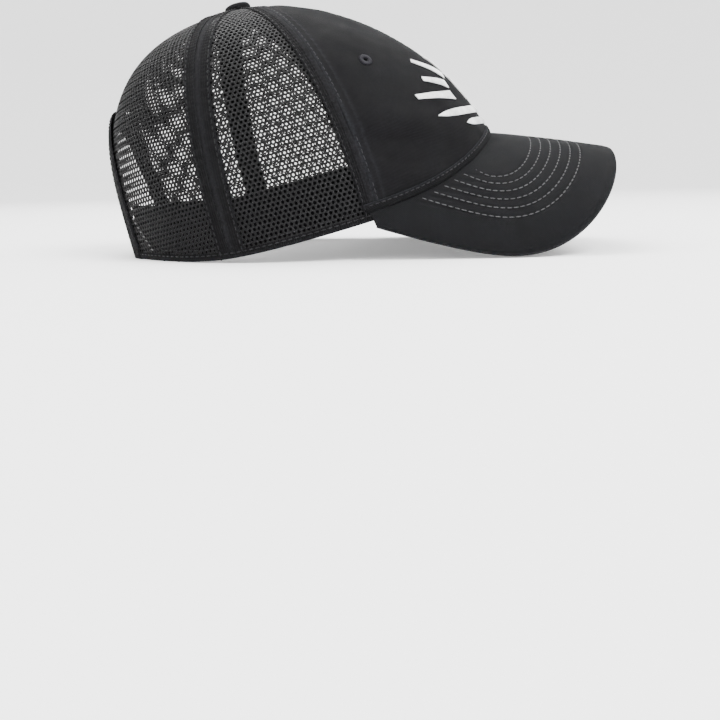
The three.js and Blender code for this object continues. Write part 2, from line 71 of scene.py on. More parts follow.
# ---------------------------------------------------------------- the crown and visor surfaces
@dataclass(frozen=True)
class Crown:
    """The crown's surface: a superellipsoid with its own roundness at the front, sides and rear."""

    height: float = 115.0
    front: float = 112.0
    rear: float = 90.0
    half_width: float = 81.5
    round_side: float = 2.3
    round_swing: float = 0.5
    tilt: float = 14.3 * DEG
    origin_y: float = 32.016
    origin_z: float = 8.3
    front_seam: float = 62 * DEG
    mid_seam: float = 109 * DEG
    top_hole: float = 3.2
    hem_drop: float = -0.6
    join_low: float = 3.3
    join_rise: float = 20.7
    join_spread: float = 31.5 * DEG

    def plan(self, phi: Array) -> Array:
        """Radius of the hem's outline at each angle from the front."""
        a = np.where(np.cos(phi) > 0, self.front, self.rear)
        return 1 / np.hypot(np.cos(phi) / a, np.sin(phi) / self.half_width)

    def roundness(self, phi: Array) -> Array:
        """Exponent of the outline up the crown at each angle."""
        return self.round_side - self.round_swing * np.cos(phi)

    def radius(self, phi: Array, level: Array) -> Array:
        """Distance from the crown's axis at an angle and a level.

        Args:
            phi: angles from the front.
            level: heights along the crown's axis.

        Returns:
            Distances in millimetres.
        """
        n = self.roundness(phi)
        t = np.clip(level, 0, self.height) / self.height
        return self.plan(phi) * np.maximum(1 - t**n, 0) ** (1 / n)

    def level_at(self, phi: Array, radius: float) -> Array:
        """Level at which the surface is a given distance from the axis."""
        n = self.roundness(phi)
        return self.height * (1 - np.minimum(radius / self.plan(phi), 1) ** n) ** (1 / n)

    def join(self, phi: Array) -> Array:
        """Level at which the top of the visor meets the crown."""
        return self.join_low + self.join_rise * np.exp(-((phi / self.join_spread) ** 2))

    def place(self, forward: Array, side: Array, up: Array) -> Array:
        """Points of the row frame, in millimetres, from distances along the crown's own axes."""
        c, s = math.cos(self.tilt), math.sin(self.tilt)
        y = self.origin_y - forward * c + up * s
        return np.stack([side, y, self.origin_z + forward * s + up * c], -1)

    def point(self, phi: Array, level: Array, depth: Array) -> Array:
        """Points at a depth along the surface's normal.

        Args:
            phi: angles from the front, positive toward the wearer's left.
            level: heights along the crown's axis, in millimetres.
            depth: distances outward along the normal, in millimetres.

        Returns:
            Points of the row frame, in millimetres, with a last axis of three.
        """
        phi, level, depth = np.broadcast_arrays(*(np.asarray(v, float) for v in (phi, level, depth)))
        n, plan, r = self.roundness(phi), self.plan(phi), self.radius(phi, level)
        a = np.where(np.cos(phi) > 0, self.front, self.rear)
        rr, ww = np.maximum(r / plan, 1e-4), np.maximum(level / self.height, 1e-4)
        slope = -(plan**3) * np.sin(phi) * np.cos(phi) * (1 / self.half_width**2 - 1 / a**2)
        above = level > 0
        gr = n * rr ** (n - 1) / plan
        gw = np.where(above, n * ww ** (n - 1) / self.height, 0)
        swing = self.round_swing * np.sin(phi) * (ww**n * np.log(ww) + rr**n * np.log(rr))
        gp = (-n * rr**n * slope / plan + np.where(above, swing, 0)) / np.maximum(r, 1)
        size = np.sqrt(gr**2 + gw**2 + gp**2)
        f = r * np.cos(phi) + depth * (gr * np.cos(phi) - gp * np.sin(phi)) / size
        s = r * np.sin(phi) + depth * (gr * np.sin(phi) + gp * np.cos(phi)) / size
        return self.place(f, s, level + depth * gw / size)

    def hem(self, phi: Array, depth: Array = 0.0) -> Array:
        """Level of the hem: along the visor at the front, flat on the floor at the rear.

        Args:
            phi: angles from the front.
            depth: distance outward from the surface where the hem lies.

        Returns:
            Levels of the hem.
        """
        phi, depth = np.broadcast_arrays(np.asarray(phi, float), np.asarray(depth, float))
        front = self.join(phi) + self.hem_drop - self.join_low
        plain = self.point(phi, np.full_like(phi, self.hem_drop), 0)[..., 2]
        eased = 2.5 * np.log1p(np.exp(plain / 2.5))
        target = np.maximum(0, eased - 0.3 * np.exp(-np.maximum(plain, 0) / 4))
        level = np.full_like(phi, self.hem_drop)
        for _ in range(HEM_ROUNDS):
            level = level + (target - self.point(phi, level, depth)[..., 2]) / math.cos(self.tilt)
        return np.where(np.abs(phi) < 90 * DEG, front, level)

    def meridian(self, phi: Array, low: Array, top_radius: float, steps: int = 60) -> Line:
        """Levels up each meridian and the surface distance to each.

        Args:
            phi: one angle for each column.
            low: the level that each column starts from.
            top_radius: the distance from the axis where it ends.
            steps: how many spans each column is measured in.

        Returns:
            Levels and distances, each shaped columns by steps + 1.
        """
        top = self.level_at(phi, top_radius)
        f = np.sin(np.linspace(0, 1, steps + 1) * 90 * DEG)
        levels = low[:, None] + (top - low)[:, None] * f[None, :]
        radii = self.radius(phi[:, None], levels)
        spans = np.hypot(np.diff(radii, axis=1), np.diff(levels, axis=1))
        return levels, np.concatenate([np.zeros((len(phi), 1)), np.cumsum(spans, 1)], 1)

    def up_seam(self, seam: float, low: float, foot: Optional[float], stop: float, steps: int = 60) -> Line:
        """Levels up one meridian and the distance to each, from a height over the hem or from a level.

        Args:
            seam: angle of the seam.
            low: height over the hem where the line starts.
            foot: the level where it starts instead, or None.
            stop: the distance from the axis where it ends.
            steps: how many spans it is measured in.

        Returns:
            Levels and distances.
        """
        one = np.array([seam])
        start = self.hem(one) + low if foot is None else np.array([foot])
        levels, lengths = self.meridian(one, start, stop, steps)
        return levels[0], lengths[0]

    def front_angle(self, side: Array, level: Array) -> Array:
        """Angle of the front surface at a distance to the side of the centre plane.

        Args:
            side: distances to the side.
            level: heights along the crown's axis.

        Returns:
            Angles from the front.
        """
        phi = np.zeros_like(np.asarray(side, float))
        for _ in range(ANGLE_ROUNDS):
            phi = np.arcsin(np.clip(side / self.radius(phi, level), -1, 1))
        return phi

    def rear_angle(self, side: Array, level: Array) -> Array:
        """Angle of the rear surface at a distance to the side of the centre plane.

        Args:
            side: distances to the side.
            level: heights along the crown's axis.

        Returns:
            Angles from the front.
        """
        side = np.asarray(side, float)
        phi = np.full_like(side, math.pi)
        for _ in range(ANGLE_ROUNDS):
            phi = math.pi - np.arcsin(np.clip(np.abs(side) / self.radius(phi, level), 0, 1))
        return np.where(side < 0, -phi, phi)


@dataclass(frozen=True)
class Arch:
    """The half-moon opening at the rear."""

    half_width: float = 38.0
    base: float = 16.0
    top: float = 78.0
    leg_drop: float = 18.0

    def edge(self, turn: Array) -> tuple[Array, Array, Array, Array]:
        """Side distance, level and outward direction of the edge, for a turn from 0 to pi.

        Args:
            turn: angles from 0 to pi round the edge, past them down the legs.

        Returns:
            Side distances, levels and the two parts of the outward direction.
        """
        g = np.clip(turn, 0, math.pi)
        below = np.maximum(-turn, 0) + np.maximum(turn - math.pi, 0)
        rise = self.top - self.base
        nx, ny = np.cos(g) / self.half_width, np.sin(g) / rise
        size = np.hypot(nx, ny)
        level = self.base + rise * np.sin(g) - self.leg_drop * below
        return self.half_width * np.cos(g), level, nx / size, ny / size

    def holds(self, side: Array, level: Array, grow: float) -> Array:
        """Whether places of the rear are inside the opening, grown by a margin.

        Args:
            side: distances to the side.
            level: heights along the crown's axis.
            grow: the margin.

        Returns:
            True where a place is inside.
        """
        w, rise = self.half_width + grow, self.top - self.base + grow
        inside = (side / w) ** 2 + (np.maximum(level - self.base, 0) / rise) ** 2 < 1
        return inside & (level > -20)


@dataclass(frozen=True)
class VisorShape:
    """The visor's surface: part of a cylinder whose axis runs forward and down."""

    radius: float = 86.0
    slope: float = 8.7 * DEG
    forward: float = 68.3
    ridge: float = 59.8
    half: float = 106.9
    front: float = 64.5
    widest: float = -16.0
    roundness: float = 2.5
    side: float = 50.4
    taper: float = 5.5
    corner: float = 63.5 * DEG
    front_share: float = 0.78
    thick: float = 4.0
    shift: float = 1.216
    join_depth: float = 0.35

    def point(self, angle: Array, radius: Array, along: Array) -> Array:
        """Points of the row frame from an angle round the axis, a radius and a distance along it.

        Args:
            angle: angles round the axis.
            radius: distances from the axis.
            along: distances forward along it.

        Returns:
            Points in millimetres.
        """
        c, s = math.cos(self.slope), math.sin(self.slope)
        up = radius * np.cos(angle)
        y = self.shift - self.forward - along * c - up * s
        z = self.ridge - self.radius / c - along * s + up * c
        return np.stack(np.broadcast_arrays(radius * np.sin(angle), y, z), -1)

    def coordinates(self, points: Array) -> tuple[Array, Array, Array]:
        """Angle, radius and distance along the axis of points of the row frame.

        Args:
            points: points in millimetres.

        Returns:
            Angles, radii and distances along the axis.
        """
        c, s = math.cos(self.slope), math.sin(self.slope)
        y, z = points[..., 1] - self.shift + self.forward, points[..., 2] - self.ridge + self.radius / c
        up, along = -y * s + z * c, -y * c - z * s
        return np.arctan2(points[..., 0], up), np.hypot(points[..., 0], up), along

    def edge(self, place: Array, grow: float) -> Line:
        """The flat outline, grown by a margin: distances around and along, from 0 at the tip to 1.

        Args:
            place: shares of the way from the tip to the corner.
            grow: the margin.

        Returns:
            Distances around and along.
        """
        turn = np.clip(place / self.front_share, 0, 1) * 90 * DEG
        back = np.clip((place - self.front_share) / (1 - self.front_share), 0, 1)
        power = 2 / self.roundness
        around = (self.half + grow) * np.sin(turn) ** power - self.taper * back**1.55
        along = self.widest + (self.front + grow) * np.maximum(np.cos(turn), 0) ** power
        return around, along - (self.side + grow) * back

    def inset(self, around: Array, along: Array) -> Array:
        """Distance of flat places inside the visor's outline.

        Args:
            around: distances around the axis.
            along: distances along it.

        Returns:
            Distances in millimetres.
        """
        low, high = np.full_like(along, -3.0), np.full_like(along, 60.0)
        p = self.roundness
        for _ in range(INSET_ROUNDS):
            mid = (low + high) / 2
            ahead = np.maximum(along - self.widest, 0) / (self.front - mid)
            value = (np.abs(around) / (self.half - mid)) ** p + ahead**p
            low, high = np.where(value < 1, mid, low), np.where(value < 1, high, mid)
        back = np.clip((self.widest - along) / self.side, 0, 1)
        side = self.half - self.taper * back**1.55 - np.abs(around)
        return np.where(along > self.widest, low, side)


ANGLE_ROUNDS = 14
HEM_ROUNDS = 12
INSET_ROUNDS = 24
CLEAR_ROUNDS = 26
EYELET_ANGLE = 42.7 * DEG
EYELET_LEVEL = 70.0
CROWN = Crown()
ARCH = Arch()
VISOR = VisorShape()


def outside_crown(points: Array) -> Array:
    """How far points of the row frame are outside the crown, along its normal.

    Args:
        points: points in millimetres.

    Returns:
        Distances in millimetres, negative inside.
    """
    c, s = math.cos(CROWN.tilt), math.sin(CROWN.tilt)
    y, z = CROWN.origin_y - points[..., 1], points[..., 2] - CROWN.origin_z
    forward, level = y * c + z * s, np.maximum(-y * s + z * c, 0)
    phi = np.arctan2(points[..., 0], forward)
    n, plan = CROWN.roundness(phi), CROWN.plan(phi)
    radius = np.hypot(forward, points[..., 0])
    value = (radius / plan) ** n + (level / CROWN.height) ** n - 1
    outward = n / plan * (radius / plan) ** (n - 1)
    return value / np.hypot(outward, n / CROWN.height * (level / CROWN.height) ** (n - 1))


def clear_along(angle: Array, radius: Array, start: Array, gap: float) -> Array:
    """First place forward of a start where the visor's surface stands a gap clear of the crown.

    Args:
        angle: angles round the visor's axis.
        radius: distances from it.
        start: places along it to search from.
        gap: the distance to keep.

    Returns:
        Places along the axis.
    """
    low, high = start - 8, start + 30
    for _ in range(CLEAR_ROUNDS):
        mid = (low + high) / 2
        inside = outside_crown(VISOR.point(angle, radius, mid)) < gap
        low, high = np.where(inside, mid, low), np.where(inside, high, mid)
    return high


def waves(points: Array, size: float, seed: float) -> Array:
    """Smooth noise from -1 to 1 at each point, with features of a size in millimetres.

    Args:
        points: points in millimetres.
        size: size of the features.
        seed: shift of the pattern.

    Returns:
        One value for each point.
    """
    flat = points.reshape(-1, 3) / size
    values = [noise.noise(Vector((x + seed, y - seed, z + 2 * seed))) for x, y, z in flat]
    return np.array(values).reshape(points.shape[:-1])


def bump(x: Array, middle: float, width: float) -> Array:
    """A smooth hump of height 1."""
    return np.exp(-(((x - middle) / width) ** 2))


def ramp(x: Array, low: float, high: float) -> Array:
    """A smooth step from 0 to 1."""
    t = np.clip((x - low) / (high - low), 0, 1)
    return t * t * (3 - 2 * t)


# ---------------------------------------------------------------- finishes
class Weave(Enum):
    """The surface pattern of a finish."""

    TWILL = "twill"
    TAPE = "tape"
    KNIT = "knit"
    THREAD = "thread"
    SATIN = "satin"
    MOULDED = "moulded"
    METAL = "metal"
    PLAIN = "plain"


FLAT_WEAVES = (Weave.TWILL, Weave.TAPE, Weave.SATIN)
BAND_TURNS = {Weave.TWILL: 58 * DEG, Weave.TAPE: 0.0, Weave.THREAD: 20 * DEG, Weave.SATIN: 0.0}


@dataclass(frozen=True)
class Finish:
    """One material: its colours, pattern and shader values."""

    name: str
    weave: Weave
    dark: Colour
    light: Colour
    worn_and_highlight: Colour
    roughness: float = 0.85
    sheen: float = 0.0
    metallic: float = 0.0
    specular: float = 0.4
    pitch: float = 0.0007
    relief: float = 0.3
    bump_distance: float = 0.0002
    mottled: float = 1.0
    glow: float = 0.0

    def build(self) -> Material:
        """Makes the material's nodes.

        Returns:
            The new material.
        """
        material = bpy.data.materials.new(self.name)
        material.use_nodes = True
        tree = material.node_tree
        tree.nodes.clear()
        place = tree.nodes.new("ShaderNodeTexCoord")
        whole = place.outputs["Object"]
        height = self._pattern(tree, place.outputs["UV" if self.weave in FLAT_WEAVES else "Object"])
        mottle = self._noise(tree, whole, 90.0, 5.0)
        fine = self._noise(tree, whole, 900.0, 3.0)
        base = self._mix(tree, "MIX", height, (*self.dark, 1.0), (*self.light, 1.0))
        shade = self._range(tree, mottle, 0.35, 0.68, 1 - 0.28 * self.mottled, 1 + 0.25 * self.mottled)
        base = self._mix(tree, "MULTIPLY", 1.0, base, shade)
        grain = self._range(tree, fine, 0.3, 0.7, 1 - 0.14 * self.mottled, 1 + 0.14 * self.mottled)
        base = self._mix(tree, "MULTIPLY", 1.0, base, grain)
        # The worn colour is mixed in where the wear attribute is high: real fading, and along the front
        # panels' seams also a painted highlight.
        worn_and_highlight = self._node(tree, "Attribute", "Fac", {}, attribute_name="wear_and_highlight")
        patchy = self._range(tree, fine, 0.35, 0.65, 0.3, 1.0)
        amount = self._node(tree, "Math", 0, {0: worn_and_highlight, 1: patchy}, operation="MULTIPLY")
        base = self._mix(tree, "MIX", amount, base, (*self.worn_and_highlight, 1.0))
        rough = self._range(tree, mottle, 0.3, 0.7, self.roughness - 0.06, min(self.roughness + 0.06, 1.0))
        total = self._node(tree, "Math", 0, {0: fine, 1: 0.35, 2: height}, operation="MULTIPLY_ADD")
        raised = self._node(tree, "Bump", "Normal", {
            "Strength": self.relief, "Distance": self.bump_distance, "Height": total})
        shader = self._node(tree, "BsdfPrincipled", "BSDF", {
            "Base Color": base, "Roughness": rough, "Normal": raised, "Metallic": self.metallic,
            "Specular IOR Level": self.specular, "Emission Color": (1.0, 1.0, 1.0, 1.0),
            "Emission Strength": self.glow, "Sheen Weight": self.sheen, "Sheen Roughness": 0.5,
            "Sheen Tint": (0.75, 0.8, 1.0, 1.0)})
        out = tree.nodes.new("ShaderNodeOutputMaterial")
        tree.links.new(shader, out.inputs["Surface"])
        return material

    def _pattern(self, tree: Tree, source: Socket) -> Socket:
        """The weave's height, from 0 to 1.

        Args:
            tree: the material's nodes.
            source: the coordinates.

        Returns:
            The height.
        """
        if self.weave not in BAND_TURNS:
            return self._noise(tree, source, 1.0 / self.pitch, 2.0)
        turned = self._node(tree, "Mapping", "Vector", {
            "Vector": source, "Rotation": (0.0, 0.0, BAND_TURNS[self.weave])})
        return self._node(tree, "TexWave", "Fac", {
            "Vector": turned, "Scale": 2 * math.pi / self.pitch / 20.0, "Distortion": 0.6,
            "Detail": 1.0, "Detail Scale": 2.0}, wave_type="BANDS", bands_direction="X")

    @staticmethod
    def _node(tree: Tree, kind: str, output: str | int, inputs: dict, **settings: str) -> Socket:
        """One shader node.

        Args:
            tree: the material's nodes.
            kind: the node's type, without its prefix.
            output: the output to give back.
            inputs: for each input, the socket linked to it or the value set on it.
            settings: the node's own options.

        Returns:
            The node's output socket.
        """
        node = tree.nodes.new(f"ShaderNode{kind}")
        for key, option in settings.items():
            setattr(node, key, option)
        for key, value in inputs.items():
            if isinstance(value, Socket):
                tree.links.new(value, node.inputs[key])
            else:
                node.inputs[key].default_value = value
        return node.outputs[output]

    @classmethod
    def _noise(cls, tree: Tree, source: Socket, scale: float, detail: float) -> Socket:
        """A noise texture's value."""
        return cls._node(tree, "TexNoise", "Fac", {"Vector": source, "Scale": scale, "Detail": detail})

    @classmethod
    def _range(cls, tree: Tree, value: Socket, low: float, high: float,
               to_low: float, to_high: float) -> Socket:
        """A value carried from one range to another."""
        return cls._node(tree, "MapRange", "Result", {
            "Value": value, "From Min": low, "From Max": high, "To Min": to_low, "To Max": to_high})

    @classmethod
    def _mix(cls, tree: Tree, blend: str, factor: Socket | float, first: Socket | tuple,
             second: Socket | tuple) -> Socket:
        """Two colours mixed by a factor."""
        return cls._node(tree, "Mix", "Result", {"Factor": factor, "A": first, "B": second},
                         data_type="RGBA", blend_type=blend)


class Finishes:
    """Every finish on the cap, each made once."""

    def __init__(self) -> None:
        """Builds the materials."""

        def make(name: str, weave: Weave, dark: Colour, light: Colour, worn_and_highlight: Colour,
                 roughness: float, **more: float) -> Material:
            """Builds one finish."""
            return Finish(name, weave, dark, light, worn_and_highlight, roughness, **more).build()

        # The third colour of each finish is its worn colour; on the crown twill it is real fading and, along
        # the front seams, also a painted highlight.
        self.twill = make("crown twill", Weave.TWILL, (0.0012, 0.0012, 0.0014), (0.0040, 0.0040, 0.0047),
                          (0.022, 0.023, 0.028), 0.92, specular=0.12, pitch=0.0006, relief=0.35)
        self.visor = make("visor twill", Weave.TWILL, (0.0016, 0.0017, 0.0020), (0.0048, 0.0050, 0.0058),
                          (0.024, 0.0245, 0.028), 0.92, specular=0.12, pitch=0.0006, relief=0.35)
        self.net = make("net", Weave.KNIT, (0.0018, 0.0018, 0.0020), (0.0060, 0.0060, 0.0065),
                        (0.03, 0.03, 0.033), 0.66, specular=0.16, pitch=0.0006, relief=0.35)
        self.tape = make("seam tape", Weave.TAPE, (0.0012, 0.0012, 0.0014), (0.0042, 0.0042, 0.0048),
                         (0.018, 0.018, 0.021), 0.9, specular=0.12, pitch=0.0011, relief=0.5)
        self.band = make("sweatband twill", Weave.TWILL, (0.0012, 0.0012, 0.0014), (0.0036, 0.0036, 0.0042),
                         (0.014, 0.014, 0.016), 0.94, specular=0.1, pitch=0.0009, relief=0.4)
        self.stitch = make("black thread", Weave.THREAD, (0.003, 0.003, 0.0034), (0.008, 0.008, 0.0092),
                           (0.05, 0.05, 0.05), 0.62, specular=0.2, pitch=0.0004)
        self.grey = make("grey thread", Weave.THREAD, (0.020, 0.020, 0.021), (0.046, 0.046, 0.048),
                         (0.1, 0.1, 0.1), 0.6, pitch=0.0004)
        self.pale = make("pale thread", Weave.THREAD, (0.07, 0.07, 0.07), (0.14, 0.14, 0.14),
                         (0.1, 0.1, 0.1), 0.6, pitch=0.0004)
        self.eyelet = make("eyelet thread", Weave.THREAD, (0.0028, 0.0026, 0.0042), (0.0085, 0.008, 0.012),
                           (0.1, 0.1, 0.1), 0.6, specular=0.15, pitch=0.0004)
        self.white = make("white thread", Weave.SATIN, (0.62, 0.62, 0.60), (0.88, 0.88, 0.86),
                          (0.8, 0.8, 0.8), 0.5, sheen=0.1, pitch=0.0006, relief=0.8)
        self.plastic = make("closure plastic", Weave.MOULDED, (0.0085, 0.0085, 0.009),
                            (0.0125, 0.0125, 0.013), (0.03, 0.03, 0.03), 0.42,
                            specular=0.5, pitch=0.0009, relief=0.12)
        self.board = make("visor board", Weave.MOULDED, (0.02, 0.02, 0.02), (0.03, 0.03, 0.03),
                          (0.03, 0.03, 0.03), 0.5, pitch=0.002, relief=0.1)
        self.metal = make("stamped metal", Weave.METAL, (0.5, 0.5, 0.51), (0.62, 0.62, 0.63),
                          (0.4, 0.4, 0.4), 0.38, metallic=1.0, pitch=0.002, relief=0.1)
        self.floor = make("floor", Weave.PLAIN, (0.93, 0.93, 0.93), (0.94, 0.94, 0.94),
                          (0.8, 0.8, 0.8), 0.9, specular=0.1, pitch=0.3, relief=0.0, mottled=0.0, glow=0.22)


# ---------------------------------------------------------------- mesh tools
class Maker:
    """Makes finished pieces from primitives with Blender's operators."""

    @staticmethod
    def clear() -> None:
        """Deselects everything."""
        bpy.ops.object.select_all(action="DESELECT")

    @staticmethod
    def hold(obj: Obj) -> None:
        """Makes one object the selected and active one.

        Args:
            obj: the object.
        """
        bpy.ops.object.select_all(action="DESELECT")
        obj.select_set(True)
        bpy.context.view_layer.objects.active = obj

    @classmethod
    @contextmanager
    def editing(cls, obj: Obj) -> Iterator[None]:
        """Edit mode on one object, with everything selected.

        Args:
            obj: the object.

        Yields:
            Nothing, while edit mode lasts.
        """
        cls.hold(obj)
        bpy.ops.object.mode_set(mode="EDIT")
        bpy.ops.mesh.select_all(action="SELECT")
        yield
        bpy.ops.object.mode_set(mode="OBJECT")

    @classmethod
    def grid(
        cls, name: str, columns: int, rows: int, placed: Layer, material: Material
    ) -> Obj:
        """A grid primitive laid over a surface.

        Args:
            name: the piece's name.
            columns: spans across.
            rows: spans up.
            placed: takes shares across and up, as tables, and returns points in millimetres,
            flat cloth coordinates in millimetres and the wear, with a painted seam highlight on the front
            panels, from 0 to 1.
            material: the finish.

        Returns:
            The new object.
        """
        cls.clear()
        bpy.ops.mesh.primitive_grid_add(x_subdivisions=columns, y_subdivisions=rows, size=2)
        obj = bpy.context.object
        obj.name = name
        mesh = obj.data
        count = len(mesh.vertices)
        flat = np.empty(count * 3)
        mesh.vertices.foreach_get("co", flat)
        at = flat.reshape(-1, 3)
        i = np.rint((at[:, 0] + 1) / 2 * columns).astype(int)
        j = np.rint((at[:, 1] + 1) / 2 * rows).astype(int)
        u, v = np.meshgrid(np.linspace(0, 1, columns + 1), np.linspace(0, 1, rows + 1), indexing="ij")
        points, cloth, wear_and_highlight = placed(u, v)
        points[..., 2] = np.maximum(points[..., 2], 0)
        cls.write(mesh, points[i, j] * MM, cloth[i, j] * MM, np.broadcast_to(wear_and_highlight, u.shape)[i, j])
        mesh.materials.append(material)
        return obj

    @staticmethod
    def write(mesh: Mesh, points: Array, cloth: Array, wear_and_highlight: Array) -> None:
        """Sets a mesh's points, its cloth coordinates and its wear, which on the front panels' seams is also
        a painted highlight.

        Args:
            mesh: the mesh.
            points: its points, in metres.
            cloth: flat cloth coordinates of its points, in metres.
            wear_and_highlight: wear of its points, with a painted seam highlight on the front panels, from 0
                to 1.
        """
        mesh.vertices.foreach_set("co", points.astype(np.float32).ravel())
        loops = np.empty(len(mesh.loops), dtype=np.int32)
        mesh.loops.foreach_get("vertex_index", loops)
        layer = mesh.uv_layers[0] if mesh.uv_layers else mesh.uv_layers.new(name="cloth")
        layer.data.foreach_set("uv", cloth[loops].astype(np.float32).ravel())
        attribute = mesh.attributes.new("wear_and_highlight", "FLOAT", "POINT")
        attribute.data.foreach_set("value", wear_and_highlight.astype(np.float32).ravel())
        mesh.update()

    @classmethod
    def face_out(cls, obj: Obj, inside: Sequence[float]) -> None:
        """Turns an open sheet's faces away from a point inside, given in millimetres.

        Args:
            obj: the sheet.
            inside: the point, in millimetres.
        """
        mesh = obj.data
        middle = np.array(inside) * MM
        outward = (p.area * float(np.dot(np.array(p.center) - middle, np.array(p.normal)))
                   for p in mesh.polygons)
        if sum(outward) < 0:
            with cls.editing(obj):
                bpy.ops.mesh.flip_normals()

    @classmethod
    def thicken(cls, obj: Obj, thickness: float) -> None:
        """Gives a sheet its thickness in millimetres, inward from its outer face.

        Args:
            obj: the sheet.
            thickness: in millimetres.
        """
        cls.hold(obj)
        solid = obj.modifiers.new("thickness", "SOLIDIFY")
        solid.thickness = thickness * MM
        solid.offset = -1
        bpy.ops.object.modifier_apply(modifier="thickness")

    @classmethod
    def cloth(cls, name: str, spans: tuple[int, int], placed: Layer, material: Material,
              inside: Sequence[float], thickness: float) -> Obj:
        """A sheet of cloth: a grid turned away from a point inside, with its thickness.

        Args:
            name: the piece's name.
            spans: spans across and up.
            placed: the surface, as grid takes it.
            material: the finish.
            inside: a point that the outer face turns away from.
            thickness: in millimetres.

        Returns:
            The new object.
        """
        obj = cls.grid(name, *spans, placed, material)
        cls.face_out(obj, inside)
        cls.thicken(obj, thickness)
        return obj

    @staticmethod
    def attach(obj: Obj, slot: str, *nodes: str) -> None:
        """Puts a piece on the cap, in place of the solids that it stands for.

        Args:
            obj: the piece.
            slot: not used.
            nodes: the solids that it stands for.
        """
        if nodes:
            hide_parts(*nodes)
        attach(obj, "cap")

    @staticmethod
    def facing(direction: Array) -> Euler:
        """The turn that points a primitive's axis along a direction."""
        return Vector((0, 0, 1)).rotation_difference(Vector(direction)).to_euler()

    @classmethod
    def combine(cls, obj: Obj, tools: Sequence[Obj], operation: str) -> None:
        """Cuts tools out of a piece or joins them to it, and removes them.

        Args:
            obj: the piece.
            tools: closed meshes.
            operation: the boolean operation.
        """
        for tool in tools:
            cls.hold(obj)
            step = obj.modifiers.new("combine", "BOOLEAN")
            step.operation = operation
            step.object = tool
            step.solver = "EXACT"
            bpy.ops.object.modifier_apply(modifier="combine")
            bpy.data.objects.remove(tool)

    @staticmethod
    def cut_area(obj: Obj) -> float:
        """Area of one side of a sheet, in square metres."""
        return sum(p.area for p in obj.data.polygons) / 2

    @classmethod
    def smooth(cls, obj: Obj, angle: float = 50.0) -> None:
        """Shades smooth where faces meet at less than an angle."""
        cls.hold(obj)
        bpy.ops.object.shade_smooth_by_angle(angle=angle * DEG)

    @classmethod
    def recalculate(cls, obj: Obj, merge: float = 0.0) -> None:
        """Merges close points and turns a closed piece's faces outward.

        Args:
            obj: the piece.
            merge: the distance under which points merge, in millimetres.
        """
        with cls.editing(obj):
            if merge:
                bpy.ops.mesh.remove_doubles(threshold=merge * MM)
            bpy.ops.mesh.normals_make_consistent(inside=False)

    @classmethod
    def loop_strip(
        cls, name: str, columns: int, ring: int, placed: Layer, material: Material
    ) -> Obj:
        """A long closed bar: a grid whose second direction runs round the section, with closed ends.

        Args:
            name: the piece's name.
            columns: spans along the bar.
            ring: spans round its section.
            placed: the surface, as grid takes it.
            material: the finish.

        Returns:
            The new object.
        """
        obj = cls.grid(name, columns, ring, placed, material)
        cls.recalculate(obj, merge=0.004)
        with cls.editing(obj):
            bpy.ops.mesh.select_all(action="DESELECT")
            bpy.ops.mesh.select_mode(type="EDGE")
            bpy.ops.mesh.select_non_manifold(extend=False, use_wire=False, use_multi_face=False,
                                             use_non_contiguous=False, use_verts=False)
            bpy.ops.mesh.edge_face_add()
            bpy.ops.mesh.select_mode(type="VERT")
            bpy.ops.mesh.select_all(action="SELECT")
            bpy.ops.mesh.normals_make_consistent(inside=False)
        return obj

    @classmethod
    def stitches(
        cls,
        name: str,
        lines: Sequence[Line],
        material: Material,
        pitch: float = 3.0,
        length: float = 2.3,
        width: float = 0.55,
        height: float = 0.36,
        slant: float = 0.0,
    ) -> Obj:
        """Rows of thread stitches along lines on a surface.

        Args:
            name: the piece's name.
            lines: for each row its points and its outward directions, in millimetres.
            material: the thread.
            pitch: distance from one stitch to the next.
            length: length of one stitch.
            width: width of the thread.
            height: how far it stands out.
            slant: turn of each stitch from the row's direction, in radians.

        Returns:
            One object with every stitch.
        """
        cls.clear()
        bpy.ops.mesh.primitive_uv_sphere_add(segments=8, ring_count=5, radius=0.5)
        base = bpy.context.object
        shape = np.array([v.co[:] for v in base.data.vertices])
        faces = [list(p.vertices) for p in base.data.polygons]
        bpy.data.objects.remove(base)
        points: list[Array] = []
        cells: list[list[int]] = []
        for line, normal in lines:
            spans = np.linalg.norm(np.diff(line, axis=0), axis=1)
            total = np.concatenate([[0], np.cumsum(spans)])
            count = max(int(total[-1] / pitch), 1)
            for k in range(count):
                middle = (k + 0.5) * total[-1] / count
                a, b = (np.array([np.interp(middle + d, total, line[:, c]) for c in range(3)])
                        for d in (-length / 2, length / 2))
                out = np.array([np.interp(middle, total, normal[:, c]) for c in range(3)])
                out /= np.linalg.norm(out)
                along = (b - a) / max(np.linalg.norm(b - a), 1e-9)
                across = np.cross(out, along)
                if slant:
                    along = along * math.cos(slant) + across * math.sin(slant)
                    across = np.cross(out, along)
                start = len(points) * len(shape)
                body = (shape[:, 2:3] * length * along + shape[:, 0:1] * width * across
                        + shape[:, 1:2] * height * out)
                points.append((a + b) / 2 + body)
                cells.extend([[start + i for i in f] for f in faces])
        mesh = bpy.data.meshes.new(name)
        mesh.from_pydata((np.concatenate(points) * MM).tolist(), [], cells)
        obj = bpy.data.objects.new(name, mesh)
        bpy.context.scene.collection.objects.link(obj)
        mesh.materials.append(material)
        cls.recalculate(obj)
        cls.hold(obj)
        bpy.ops.object.shade_smooth()
        return obj


def crown_line(phi: Array, level: Array, depth: float) -> Line:
    """Points and outward directions of a line on the crown."""
    a, b = CROWN.point(phi, level, depth), CROWN.point(phi, level, depth + 1)
    return a, b - a


